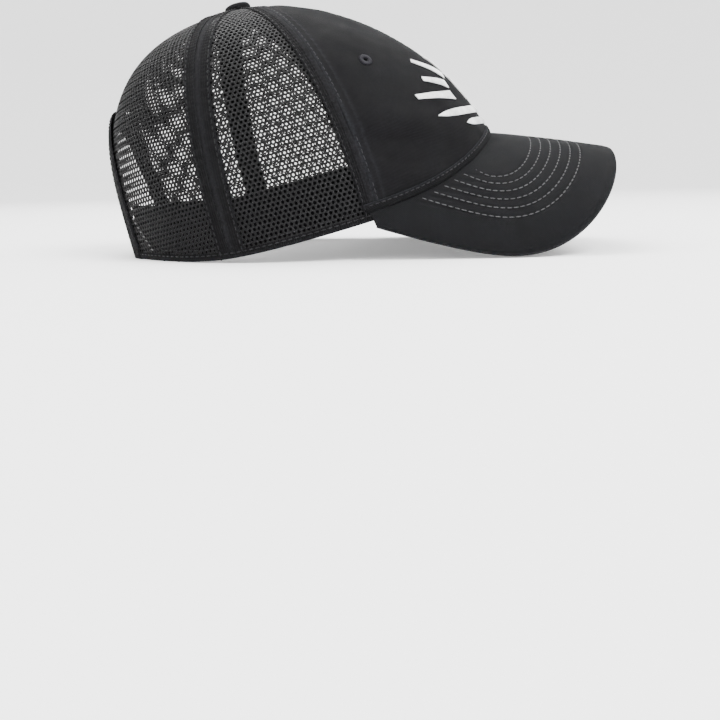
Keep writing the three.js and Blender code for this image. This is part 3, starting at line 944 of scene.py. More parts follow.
def seam_line(seam: float, offset: float, depth: float, low: float = 0.0, stop: float = 7.5) -> Line:
    """A line beside a seam, a distance to its side, from a height over the hem to near the button.

    Args:
        seam: angle of the seam.
        offset: distance to the side of the seam.
        depth: distance outward from the surface.
        low: height over the hem where it starts.
        stop: distance from the axis where it ends.

    Returns:
        Points and outward directions.
    """
    level, _ = CROWN.up_seam(seam, low, None, stop, 80)
    radius = CROWN.radius(np.full_like(level, seam), level)
    phi = seam + np.arcsin(np.clip(offset / radius, -0.3, 0.3))
    return crown_line(phi, level, depth)


# ---------------------------------------------------------------- the crown
@dataclass
class TwillFront:
    """The two soft cotton panels at the front, with their creases and topstitching."""

    finishes: Finishes
    thickness: float = 0.8
    seam_gap: float = 0.12
    allowance: float = 5.5
    crease: float = 1.15
    dent_angle: float = 44 * DEG
    dent_level: float = 25.0
    deepest: float = -1.05

    def relief(self, phi: Array, level: Array, edge: Array, sign: float) -> Array:
        """How far the soft cloth stands out of its plain shape, in millimetres.

        Args:
            phi: angles from the front.
            level: heights along the crown's axis.
            edge: distances to the nearer seam.
            sign: 1 for the wearer's left, else -1.

        Returns:
            Depths in millimetres.
        """
        at = CROWN.point(phi, level, 0)
        swell = ramp(edge, 0.1, 0.9) * (1 - ramp(edge, self.allowance - 0.6, self.allowance + 0.8))
        depth = 0.42 * swell - 0.35 * bump(edge, 0, 0.5)
        away = ramp(edge, 2, 14)
        stretched = at * np.array([1.0, 0.75, 1.35])
        depth += self.crease * away * waves(stretched, 34, 3.1 + sign)
        depth += 0.36 * away * waves(at * np.array([1.0, 0.8, 1.6]), 12, 7.7 + sign)
        along = (np.abs(phi) - self.dent_angle) * 80
        tilted = level - self.dent_level - 0.25 * along
        depth -= 1.5 * np.exp(-((along / 20) ** 2) - (tilted / 7.0) ** 2)
        depth += 1.7 * np.exp(-((along / 24) ** 2) - ((tilted - 13) / 8) ** 2)
        depth += 0.9 * np.exp(-((along / 20) ** 2) - ((tilted + 11) / 6) ** 2)
        over = level - CROWN.join(phi)
        depth += 0.35 * np.exp(-np.maximum(over - 4, 0) / 9) * waves(at, 6.5, 2.2) * away
        top = ramp(CROWN.radius(phi, level), 6, 16)
        pucker = 0.10 * np.sin(level * 2.1) * bump(edge, self.allowance, 1.4)
        soft = 0.25
        depth = self.deepest + soft * np.log1p(np.exp((depth - self.deepest) / soft))
        return (depth + pucker) * top

    def lift(self, phi: Array, level: Array) -> Array:
        """The cloth's relief at any place of the front.

        Args:
            phi: angles from the front.
            level: heights along the crown's axis.

        Returns:
            Depths in millimetres.
        """
        radius = CROWN.radius(phi, level)
        edge = np.minimum(np.abs(phi), CROWN.front_seam - np.abs(phi)) * radius
        left, right = (self.relief(phi, level, edge, sign) for sign in (1.0, -1.0))
        return np.where(phi > 0, left, right)

    def panel(self, sign: float) -> None:
        """One front panel; sign is 1 for the wearer's left.

        Args:
            sign: 1 for the wearer's left, else -1.
        """
        seam = CROWN.front_seam

        def placed(u: Array, v: Array) -> Placed:
            """Lays the grid on the crown.

            Args:
                u: shares across.
                v: shares up.

            Returns:
                Points, cloth coordinates, and wear with a painted seam highlight.
            """
            middle = seam * u[:, 0]
            levels, lengths = CROWN.meridian(middle, CROWN.hem(middle), CROWN.top_hole)
            level = np.stack([np.interp(share * length[-1], length, column)
                              for share, length, column in zip(v, lengths, levels)])
            radius = np.maximum(CROWN.radius(middle[:, None], level), CROWN.top_hole)
            ease = self.seam_gap / radius
            phi = ease + (seam - 2 * ease) * u
            edge = np.minimum(phi, seam - phi) * radius
            points = CROWN.point(sign * phi, level, self.relief(sign * phi, level, edge, sign))
            cloth = np.stack([(phi - seam / 2) * radius, v * lengths[:, -1:]], -1)
            # Lighter bluish bands along each seam and along the allowance's edge: partly real fading, partly
            # a painted highlight on the raised seams.
            wear_and_highlight = 0.30 * bump(edge, 1.6, 1.3) + 0.16 * bump(edge, self.allowance + 0.3, 0.9)
            wear_and_highlight = wear_and_highlight + 0.12 * np.clip(waves(points, 20, 9.0), 0, 1)
            return points, cloth, np.clip(wear_and_highlight, 0, 1)

        side = "left" if sign > 0 else "right"
        obj = Maker.cloth(f"front_cloth_{side}", (120, 150), placed, self.finishes.twill, (0, 0, 40),
                          self.thickness)
        self.pierce(obj, sign)
        Maker.smooth(obj, 40)
        Maker.attach(obj, "cotton_twill", f"front_panel_{side}")
        Maker.cut_area(obj)

    @staticmethod
    def pierce(obj: Obj, sign: float) -> None:
        """Cuts the eyelet's hole through the panel.

        Args:
            obj: the panel.
            sign: 1 for the wearer's left, else -1.
        """
        origin, normal = Eyelets.frame(sign)
        Maker.clear()
        bpy.ops.mesh.primitive_cylinder_add(vertices=24, radius=1.25 * MM, depth=8 * MM,
                                            location=Vector(origin) * MM, rotation=Maker.facing(normal))
        Maker.combine(obj, [bpy.context.object], "DIFFERENCE")

    def build(self) -> None:
        """Makes the two panels and the stitching on them."""
        for sign in (1.0, -1.0):
            self.panel(sign)
        rows = [seam_line(0, d, 0.48, 5.0) for d in (-2.6, 2.6)]
        rows += [seam_line(s * CROWN.front_seam, -s * 2.2, 0.48, 8.0) for s in (1, -1)]
        lines = Maker.stitches("front_topstitching", rows, self.finishes.stitch)
        Maker.attach(lines, "cotton_twill")
        log.info("front panels made")


@dataclass
class Eyelets:
    """The two embroidered eyelets."""

    finishes: Finishes
    hole: float = 1.05
    rim: float = 3.2
    threads: int = 46

    @staticmethod
    def frame(sign: float) -> Line:
        """Centre and outward direction of an eyelet, in millimetres."""
        a, b = (CROWN.point(sign * EYELET_ANGLE, EYELET_LEVEL, depth) for depth in (0, 1))
        return a, (b - a) / np.linalg.norm(b - a)

    def build(self) -> None:
        """Makes each eyelet as a padded ring with radial threads over it."""
        for sign, side in ((1.0, "left"), (-1.0, "right")):
            centre, normal = self.frame(sign)
            centre = centre + normal * 0.35
            across = np.cross(normal, [0, 0, 1])
            across /= np.linalg.norm(across)
            up = np.cross(normal, across)
            Maker.clear()
            bpy.ops.mesh.primitive_torus_add(
                location=Vector(centre) * MM, rotation=Maker.facing(normal),
                major_segments=40, minor_segments=10,
                major_radius=(self.rim + self.hole) / 2 * MM, minor_radius=(self.rim - self.hole) / 2 * MM)
            ring = bpy.context.object
            ring.name = f"eyelet_ring_{side}"
            bpy.ops.object.transform_apply(location=True, rotation=True, scale=True)
            for v in ring.data.vertices:
                high = (v.co - Vector(centre) * MM).dot(Vector(normal))
                v.co = v.co - Vector(normal) * high * 0.55
            ring.data.materials.append(self.finishes.eyelet)
            lines = []
            for k in range(self.threads):
                a = 2 * math.pi * k / self.threads
                out = across * math.cos(a) + up * math.sin(a)
                radii = np.linspace(self.hole + 0.05, self.rim + 0.15, 6)
                mid, half = (self.rim + self.hole) / 2, (self.rim - self.hole) / 2
                lift = 0.45 * np.sqrt(np.clip(1 - ((radii - mid) / (half + 0.2)) ** 2, 0, 1))
                line = centre + radii[:, None] * out + (lift[:, None] + 0.05) * normal
                lines.append((line, np.tile(normal, (6, 1))))
            threads = Maker.stitches(f"eyelet_threads_{side}", lines, self.finishes.eyelet,
                                     pitch=5.0, length=2.35, width=0.42, height=0.5)
            Maker.hold(ring)
            threads.select_set(True)
            bpy.ops.object.join()
            Maker.smooth(ring, 60)
            Maker.attach(ring, "eyelet_thread", f"eyelet_{side}")
        log.info("eyelets made")


@dataclass
class NetPanels:
    """The four net panels: real six-sided holes, cut to the panel's shape."""

    finishes: Finishes
    across: float = 2.25
    row: float = 2.05
    strand: float = 0.42
    thickness: float = 0.5

    @staticmethod
    def middle_line(middle: float) -> Line:
        """Levels up the panel's middle and the distance to each."""
        return CROWN.up_seam(middle, 0.0, -6.0, CROWN.top_hole + 1.0, 200)

    def lattice(self, start: float, end: float, rear: bool) -> tuple[Array, list[list[int]]]:
        """The panel's cells.

        Args:
            start: angle of the seam nearer the front.
            end: angle of the seam nearer the rear.
            rear: whether the opening is cut out of it.

        Returns:
            Flat corner places (distance to the side of the panel's middle, distance up) and the cells.
        """
        middle = (start + end) / 2
        up = self.middle_line(middle)
        tall = up[1][-1]
        wide = 0.62 * abs(end - start) * CROWN.half_width + 12
        corners: dict[tuple[int, int], int] = {}
        places: list[tuple[float, float]] = []
        cells: list[list[int]] = []
        half, third = self.across / 2, self.row / 3
        shape = ((0, 2), (1, 1), (1, -1), (0, -2), (-1, -1), (-1, 1))
        for j in range(int(tall / self.row) + 1):
            for i in range(-int(wide / self.across), int(wide / self.across) + 1):
                ci, cj = 2 * i + (j % 2), 3 * j
                if not self.kept(ci * half, cj * third, middle, start, end, up, rear):
                    continue
                cell = []
                for di, dj in shape:
                    key = (ci + di, cj + dj)
                    if key not in corners:
                        corners[key] = len(places)
                        places.append((key[0] * half, key[1] * third))
                    cell.append(corners[key])
                cells.append(cell)
        return np.array(places), cells

    @staticmethod
    def kept(s: float, h: float, middle: float, start: float, end: float, up: Line, rear: bool) -> bool:
        """Whether a cell is inside the panel.

        Args:
            s: distance of the cell to the side of the panel's middle.
            h: its distance up the middle.
            middle: angle of the panel's middle.
            start: angle of the seam nearer the front.
            end: angle of the seam nearer the rear.
            up: levels and distances up the middle.
            rear: whether the opening is cut out.

        Returns:
            True for a cell to keep.
        """
        levels, lengths = up
        level = float(np.interp(h, lengths, levels))
        radius = float(CROWN.radius(np.array([middle]), np.array([level]))[0])
        phi = middle + s / max(radius, 1.0)
        if radius < 5.0 or not start < phi < end:
            return False
        edge = min(phi - start, end - phi) * radius
        if edge < 0.9:
            return False
        hem = float(CROWN.hem(np.array([phi]))[0])
        if level < hem + 1.0:
            return False
        if rear:
            side = float(CROWN.radius(np.array([phi]), np.array([level]))[0]) * math.sin(phi)
            return not bool(ARCH.holds(np.array([side]), np.array([level]), 1.2)[0])
        return True

    def panel(self, name: str, node: str, start: float, end: float, sign: float, rear: bool) -> Obj:
        """Makes one net panel between two seams.

        Args:
            name: the piece's name.
            node: the solid that it stands for.
            start: angle of the seam nearer the front.
            end: angle of the seam nearer the rear.
            sign: 1 for the wearer's left, else -1.
            rear: whether the opening is cut out.

        Returns:
            The new object.
        """
        places, cells = self.lattice(start, end, rear)
        mesh = bpy.data.meshes.new(name)
        flat = np.concatenate([places, np.zeros((len(places), 1))], 1)
        mesh.from_pydata((flat * MM).tolist(), [], cells)
        obj = bpy.data.objects.new(name, mesh)
        bpy.context.scene.collection.objects.link(obj)
        with Maker.editing(obj):
            bpy.ops.mesh.select_mode(type="FACE")
            bpy.ops.mesh.select_all(action="SELECT")
            bpy.ops.mesh.inset(thickness=self.strand * MM, use_individual=True)
            bpy.ops.mesh.delete(type="FACE")
            bpy.ops.mesh.select_mode(type="VERT")
        self.lay(obj, (start + end) / 2, sign)
        Maker.face_out(obj, (0, 20, 40))
        Maker.thicken(obj, self.thickness)
        Maker.hold(obj)
        bpy.ops.object.shade_smooth()
        obj.data.materials.append(self.finishes.net)
        Maker.attach(obj, "polyester_net", node)
        return obj

    def lay(self, obj: Obj, middle: float, sign: float) -> None:
        """Carries the flat net onto the crown.

        Args:
            obj: the flat net.
            middle: angle of the panel's middle.
            sign: 1 for the wearer's left, else -1.
        """
        mesh = obj.data
        flat = np.empty(len(mesh.vertices) * 3)
        mesh.vertices.foreach_get("co", flat)
        flat = flat.reshape(-1, 3) / MM
        levels, lengths = self.middle_line(middle)
        level = np.interp(flat[:, 1], lengths, levels)
        radius = CROWN.radius(np.full_like(level, middle), level)
        phi = middle + flat[:, 0] / np.maximum(radius, 1.0)
        at = CROWN.point(sign * phi, level, 0)
        depth = -0.1 + 0.45 * waves(at, 42, 5.5 + sign + middle) * ramp(level, 6, 30)
        knit = 0.10 * np.sin(flat[:, 0] * 2 * math.pi / self.across)
        points = CROWN.point(sign * phi, level, depth + knit)
        mesh.uv_layers.new(name="cloth")
        Maker.write(mesh, points * MM, flat[:, :2] * MM, np.zeros(len(flat)))

    def build(self) -> None:
        """Makes the four panels."""
        for sign, side in ((1.0, "left"), (-1.0, "right")):
            for kind, start, end, rear in (("side", CROWN.front_seam, CROWN.mid_seam, False),
                                           ("rear", CROWN.mid_seam, math.pi, True)):
                node = f"{kind}_mesh_panel_{side}"
                obj = self.panel(f"{kind}_net_{side}", node, start, end, sign, rear)
                Maker.cut_area(obj)
                log.info("%s made, %d faces", obj.name, len(obj.data.polygons))


@dataclass
class SeamTapes:
    """Tapes behind the seams, the fine seam lines over the net and the stitching beside them."""

    finishes: Finishes
    half_widths: tuple[float, float, float] = (5.5, 6.6, 5.5)
    knit_row: float = 2.05
    knit_column: float = 1.15

    def tape(self, name: str, node: str, seam: float, half: float, low: float = 1.0,
             foot: Optional[float] = None, depth: float = -0.95) -> None:
        """One tape behind a seam.

        Args:
            name: the piece's name.
            node: the solid that it stands for.
            seam: angle of the seam.
            half: half its width.
            low: height over the hem where it starts.
            foot: the level where it starts instead, or None.
            depth: where its outer face lies.
        """
        levels, lengths = CROWN.up_seam(seam, low, foot, 4.6)

        def placed(u: Array, v: Array) -> Placed:
            """Lays the tape on the crown's inside.

            Args:
                u: shares across.
                v: shares up.

            Returns:
                Points, cloth coordinates and wear.
            """
            level = np.interp(v[0] * lengths[-1], lengths, levels)[None, :] + 0 * u
            radius = CROWN.radius(np.full_like(level, seam), level)
            angle = np.minimum(np.arcsin(np.clip(half / radius, 0, 1)), 20 * DEG)
            phi = seam + angle * (2 * u - 1)
            cross = 0.12 * (np.cos((2 * u - 1) * math.pi * 2) - 1)
            points = CROWN.point(phi, level, depth + cross)
            cloth = np.stack([(2 * u - 1) * half, v * lengths[-1]], -1)
            return points, cloth, 0.15 * bump(2 * u - 1, 0, 0.2)

        obj = Maker.cloth(name, (10, 60), placed, self.finishes.tape, (0, 20, 40), 0.7)
        Maker.smooth(obj, 45)
        Maker.attach(obj, "seam_tape", node)

    def seam_ridge(self, name: str, seam: float, foot: Optional[float]) -> None:
        """The fine rolled line where two net panels meet.

        Args:
            name: the piece's name.
            seam: angle of the seam.
            foot: the level where it starts, or None for the hem.
        """
        levels, lengths = CROWN.up_seam(seam, 0.4, foot, 5.2)

        def placed(u: Array, v: Array) -> Placed:
            """A low half-round bar along the seam.

            Args:
                u: shares across.
                v: shares up.

            Returns:
                Points, cloth coordinates and wear.
            """
            level = np.interp(u[:, 0] * lengths[-1], lengths, levels)[:, None] + 0 * u
            radius = CROWN.radius(np.full_like(level, seam), level)
            a = v * 2 * math.pi
            phi = seam + 1.5 * np.cos(a) / np.maximum(radius, 4)
            points = CROWN.point(phi, level, -0.25 + 0.62 * np.sin(a))
            cloth = np.stack([v * 4, u * lengths[-1]], -1)
            return points, cloth, 0.35 * bump(np.sin(a), 1, 0.6)

        obj = Maker.loop_strip(name, 110, 10, placed, self.finishes.tape)
        Maker.smooth(obj, 60)
        Maker.attach(obj, "seam_tape")

    def fold(self, name: str, seam: float, near: float, far: float, foot: Optional[float]) -> None:
        """The net's doubled edge beside a seam: a closed, knitted band.

        Args:
            name: the piece's name.
            seam: angle of the seam.
            near: signed distance from the seam to the band's edge beside it.
            far: signed distance from the seam to its outer edge.
            foot: the level where it starts, or None for the hem.
        """
        levels, lengths = CROWN.up_seam(seam, 1.5, foot, 8.5)

        def placed(u: Array, v: Array) -> Placed:
            """Lays the band over the net.

            Args:
                u: shares across.
                v: shares up.

            Returns:
                Points, cloth coordinates and wear.
            """
            high = v * lengths[-1]
            level = np.interp(high, lengths, levels)
            radius = CROWN.radius(np.full_like(level, seam), level)
            narrow = ramp(radius, 4, 26)
            away = near + (far - near) * u * (0.35 + 0.65 * narrow)
            phi = seam + away / radius
            knit = np.abs(np.sin(high * math.pi / self.knit_row)) ** 0.6
            across = away * math.pi / self.knit_column + np.floor(high / self.knit_row)
            knit = knit * (0.45 + 0.55 * np.abs(np.sin(across)))
            edge = bump(u, 0.0, 0.16) + bump(u, 1.0, 0.16)
            depth = 0.10 + 0.36 * knit + 0.25 * edge
            at = CROWN.point(phi, level, 0)
            depth = depth + 0.15 * waves(at, 14, 3.0)
            return CROWN.point(phi, level, depth), np.stack([away, high], -1), 0.2 * edge

        obj = Maker.cloth(name, (22, 380), placed, self.finishes.tape, (0, 20, 40), 0.4)
        Maker.smooth(obj, 60)
        Maker.attach(obj, "polyester_net")

    def build(self) -> None:
        """Makes every tape, seam line and row of stitches."""
        centre, mid, front = self.half_widths
        self.tape("centre_tape", "centre_seam_tape", 0.0, centre, depth=-1.25)
        over = ARCH.top + 8.2
        self.tape("rear_tape", "rear_seam_tape", math.pi, front, 0.0, over)
        rows = []
        for sign, side in ((1, "left"), (-1, "right")):
            self.tape(f"front_side_tape_{side}", f"front_seam_tape_{side}", sign * CROWN.front_seam,
                      front, depth=-1.25)
            self.tape(f"mid_tape_{side}", f"mid_seam_tape_{side}", sign * CROWN.mid_seam, mid)
            self.seam_ridge(f"front_side_seam_{side}", sign * CROWN.front_seam, None)
            self.seam_ridge(f"mid_seam_{side}", sign * CROWN.mid_seam, None)
            self.fold(f"mid_fold_front_{side}", sign * CROWN.mid_seam, -1.2, -6.4, None)
            self.fold(f"mid_fold_rear_{side}", sign * CROWN.mid_seam, 1.2, 6.4, None)
            self.fold(f"front_fold_{side}", sign * CROWN.front_seam, sign * 1.2, sign * 5.6, None)
            rows += [seam_line(sign * CROWN.mid_seam, d, 0.62, 2.0, 14.0) for d in (-5.4, 5.4)]
            rows += [seam_line(sign * CROWN.front_seam, sign * 4.7, 0.62, 2.0, 14.0)]
        self.seam_ridge("rear_seam", math.pi, over + 0.5)
        self.fold("rear_fold_left", math.pi, 1.2, 5.6, over + 0.5)
        self.fold("rear_fold_right", math.pi, -1.2, -5.6, over + 0.5)
        levels, _ = CROWN.up_seam(math.pi, 0.0, over + 0.5, 9.0)
        radius = CROWN.radius(np.full_like(levels, math.pi), levels)
        rows += [crown_line(math.pi + d / radius, levels, 0.62) for d in (-4.6, 4.6)]
        lines = Maker.stitches("net_topstitching", rows, self.finishes.stitch, height=0.45)
        Maker.attach(lines, "seam_tape")
        log.info("seam tapes made")


@dataclass
class Hem:
    """The sweatband inside, the hem's binding outside and the folded strip over the visor."""

    finishes: Finishes
    band_height: float = 26.5
    band_end: float = 152.8 * DEG
    strip_height: float = 3.9
    strip_end: float = 65 * DEG

    @staticmethod
    def drop(phi: Array) -> Array:
        """How much deeper the band lies behind the strap's roots."""
        return 1.9 * ramp(np.abs(phi), 130 * DEG, 140 * DEG)

    def sweatband(self) -> None:
        """The sweatband: a soft folded band with a rolled upper edge."""

        def placed(u: Array, v: Array) -> Placed:
            """A closed section round the band, swept round the head.

            Args:
                u: shares across.
                v: shares up.

            Returns:
                Points, cloth coordinates and wear.
            """
            phi = self.band_end * (2 * u - 1)
            turn = v * 4
            side = np.floor(np.minimum(turn, 3.999)).astype(int)
            f = turn - side
            tall = np.choose(side, [f, np.ones_like(f), 1 - f, np.zeros_like(f)])
            inside = np.choose(side, [np.zeros_like(f), f, np.ones_like(f), 1 - f])
            round_top = np.where(side == 1, 0.5 * np.sin(f * math.pi), 0)
            puff = 0.35 * np.sin(np.clip(tall, 0, 1) * math.pi) * inside
            depth = -2.0 - self.drop(phi) - (1.15 + puff) * inside
            base = CROWN.hem(phi, depth)
            level = base + 0.25 + (self.band_height - 0.5) * tall + round_top
            at = CROWN.point(phi, level, depth)
            depth = depth - 0.25 * np.clip(waves(at, 18, 4.0), -1, 1) * inside * ramp(tall, 0.0, 0.4)
            cloth = np.stack([phi * 90, level], -1)
            return CROWN.point(phi, level, depth), cloth, 0.25 * np.where(side == 1, 1.0, 0.0)

        obj = Maker.loop_strip("sweatband_cloth", 260, 28, placed, self.finishes.band)
        Maker.smooth(obj, 45)
        Maker.attach(obj, "sweatband_twill", "sweatband")

    def hem_binding(self, sign: float, side: str) -> None:
        """The narrow binding along the lower edge of the net panels.

        Args:
            sign: 1 for the wearer's left, else -1.
            side: the side's name.
        """
        start, end = CROWN.front_seam + 1.2 * DEG, 154.6 * DEG

        def placed(u: Array, v: Array) -> Placed:
            """A flat rolled strip at the hem.

            Args:
                u: shares across.
                v: shares up.

            Returns:
                Points, cloth coordinates and wear.
            """
            phi = sign * (start + (end - start) * u)
            a = v * 2 * math.pi
            low = CROWN.hem(phi)
            level = low + 1.9 + 1.85 * np.cos(a)
            depth = -0.35 + 0.8 * np.sin(a)
            points = CROWN.point(phi, level, depth)
            points[..., 2] = np.maximum(points[..., 2], 0.02)
            cloth = np.stack([phi * 88, v * 8], -1)
            return points, cloth, 0.3 * bump(np.cos(a), -1, 0.5)

        obj = Maker.loop_strip(f"hem_binding_{side}", 130, 12, placed, self.finishes.tape)
        Maker.smooth(obj, 60)
        Maker.attach(obj, "seam_tape")

    def visor_strip(self) -> None:
        """The folded strip where the crown meets the visor."""

        def placed(u: Array, v: Array) -> Placed:
            """A rounded flat bar standing on the join.

            Args:
                u: shares across.
                v: shares up.

            Returns:
                Points, cloth coordinates and wear.
            """
            phi = self.strip_end * (2 * u - 1)
            a = v * 2 * math.pi
            half = self.strip_height / 2
            squared = np.sign(np.cos(a)) * np.abs(np.cos(a)) ** 0.6
            level = CROWN.join(phi) + 0.2 + half + half * squared
            at = CROWN.point(phi, level, 0.5)
            depth = 0.45 + 0.55 * np.sign(np.sin(a)) * np.abs(np.sin(a)) ** 0.6
            depth = depth + 0.12 * waves(at, 5, 1.5) * (np.sin(a) > 0)
            cloth = np.stack([phi * 90, v * 9], -1)
            return CROWN.point(phi, level, depth), cloth, 0.35 * bump(np.cos(a), 1, 0.5)

        obj = Maker.loop_strip("visor_seam_fold", 220, 14, placed, self.finishes.twill)
        Maker.smooth(obj, 60)
        Maker.attach(obj, "cotton_twill", "visor_seam_strip")

    def build(self) -> None:
        """Makes the hem's pieces and their stitching."""
        self.sweatband()
        for sign, side in ((1.0, "left"), (-1.0, "right")):
            self.hem_binding(sign, side)
        self.visor_strip()
        rows = []
        for sign in (1, -1):
            phi = sign * np.linspace(63.5 * DEG, 154 * DEG, 120)
            rows.append(crown_line(phi, CROWN.hem(phi) + 2.6, 0.4))
            rows.append(crown_line(phi, CROWN.hem(phi) + 5.4, 0.1))
        phi = np.linspace(-64 * DEG, 64 * DEG, 200)
        rows.append(crown_line(phi, CROWN.join(phi) + 2.9, 0.95))
        lines = Maker.stitches("hem_topstitching", rows, self.finishes.stitch)
        Maker.attach(lines, "cotton_twill")
        phi = np.linspace(-150 * DEG, 150 * DEG, 300)
        depth = -3.35 - self.drop(phi)
        inside = crown_line(phi, CROWN.hem(phi) + 22.5, -3.4)
        points = CROWN.point(phi, CROWN.hem(phi) + 22.5, depth)
        inner = Maker.stitches("sweatband_stitching", [(points, -inside[1])], self.finishes.grey, height=0.4)
        Maker.attach(inner, "sweatband_twill")
        log.info("hem made")


@dataclass
class Opening:
    """The binding round the half-moon opening, with its ribbed edge."""

    finishes: Finishes
    teeth: float = 1.5
    legs: float = 0.95
    flare: float = 1.5
    flare_spread: float = 0.9

    def flared(self, turn: Array, away: Array) -> Array:
        """How far the tape stands out round the top of the opening."""
        return self.flare * bump(turn, math.pi / 2, self.flare_spread) * ramp(away, -1.2, 3.5)

    def build(self) -> None:
        """Sweeps the folded tape along the opening's edge."""

        def section(v: Array) -> Line:
            """Distance from the edge and depth, round the folded tape's section.

            Args:
                v: shares of the way round the section.

            Returns:
                Distances from the edge and depths.
            """
            outline = [(-1.1, -0.4), (-0.7, 0.55), (0.6, 0.95), (3.5, 0.85), (6.6, 0.8), (7.1, 0.45),
                       (6.6, 0.2), (3.5, 0.15), (0.3, 0.1), (0.0, -0.5), (0.4, -1.15), (6.4, -1.2),
                       (6.8, -1.5), (6.3, -1.75), (0.5, -1.75), (-0.7, -1.4), (-1.1, -0.4)]
            t = np.linspace(0, 1, len(outline))
            return np.interp(v, t, [p[0] for p in outline]), np.interp(v, t, [p[1] for p in outline])

        def placed(u: Array, v: Array) -> Placed:
            """Lays the section along the edge.

            Args:
                u: shares across.
                v: shares up.

            Returns:
                Points, cloth coordinates and wear.
            """
            turn = -self.legs + (math.pi + 2 * self.legs) * u
            x, level, nx, ny = ARCH.edge(turn)
            away, depth = section(v)
            ribs = 0.16 * np.abs(np.sin(u * 120 * math.pi / self.teeth)) * bump(away, 6.8, 0.8)
            out = (depth > -0.2) * self.flared(turn, away) * (1 - ramp(away, 6.5, 7.5) * 0.4)
            side, up = x + (away + ribs) * nx, level + (away + ribs) * ny
            phi = CROWN.rear_angle(side, up)
            points = CROWN.point(phi, up, depth + out)
            points[..., 2] = np.maximum(points[..., 2], 0.02)
            cloth = np.stack([away, turn * 55], -1)
            return points, cloth, 0.35 * bump(away, -0.9, 0.8) + 0.2 * bump(away, 7, 0.6)

        obj = Maker.loop_strip("opening_edge_tape", 240, 32, placed, self.finishes.tape)
        Maker.smooth(obj, 55)
        Maker.attach(obj, "seam_tape", "opening_binding")
        rows = []
        turn = np.linspace(-0.8, math.pi + 0.8, 200)
        for away in (1.2, 5.6):
            x, level, nx, ny = ARCH.edge(turn)
            side, up = x + away * nx, level + away * ny
            phi = CROWN.rear_angle(side, up)
            lift = 0.98 + self.flared(turn, away)
            low, high = CROWN.point(phi, up, lift), CROWN.point(phi, up, lift + 1)
            keep = low[:, 2] > 1.5
            rows.append((low[keep], (high - low)[keep]))
        lines = Maker.stitches("opening_stitching", rows, self.finishes.stitch)
        Maker.attach(lines, "seam_tape")
        log.info("opening made")


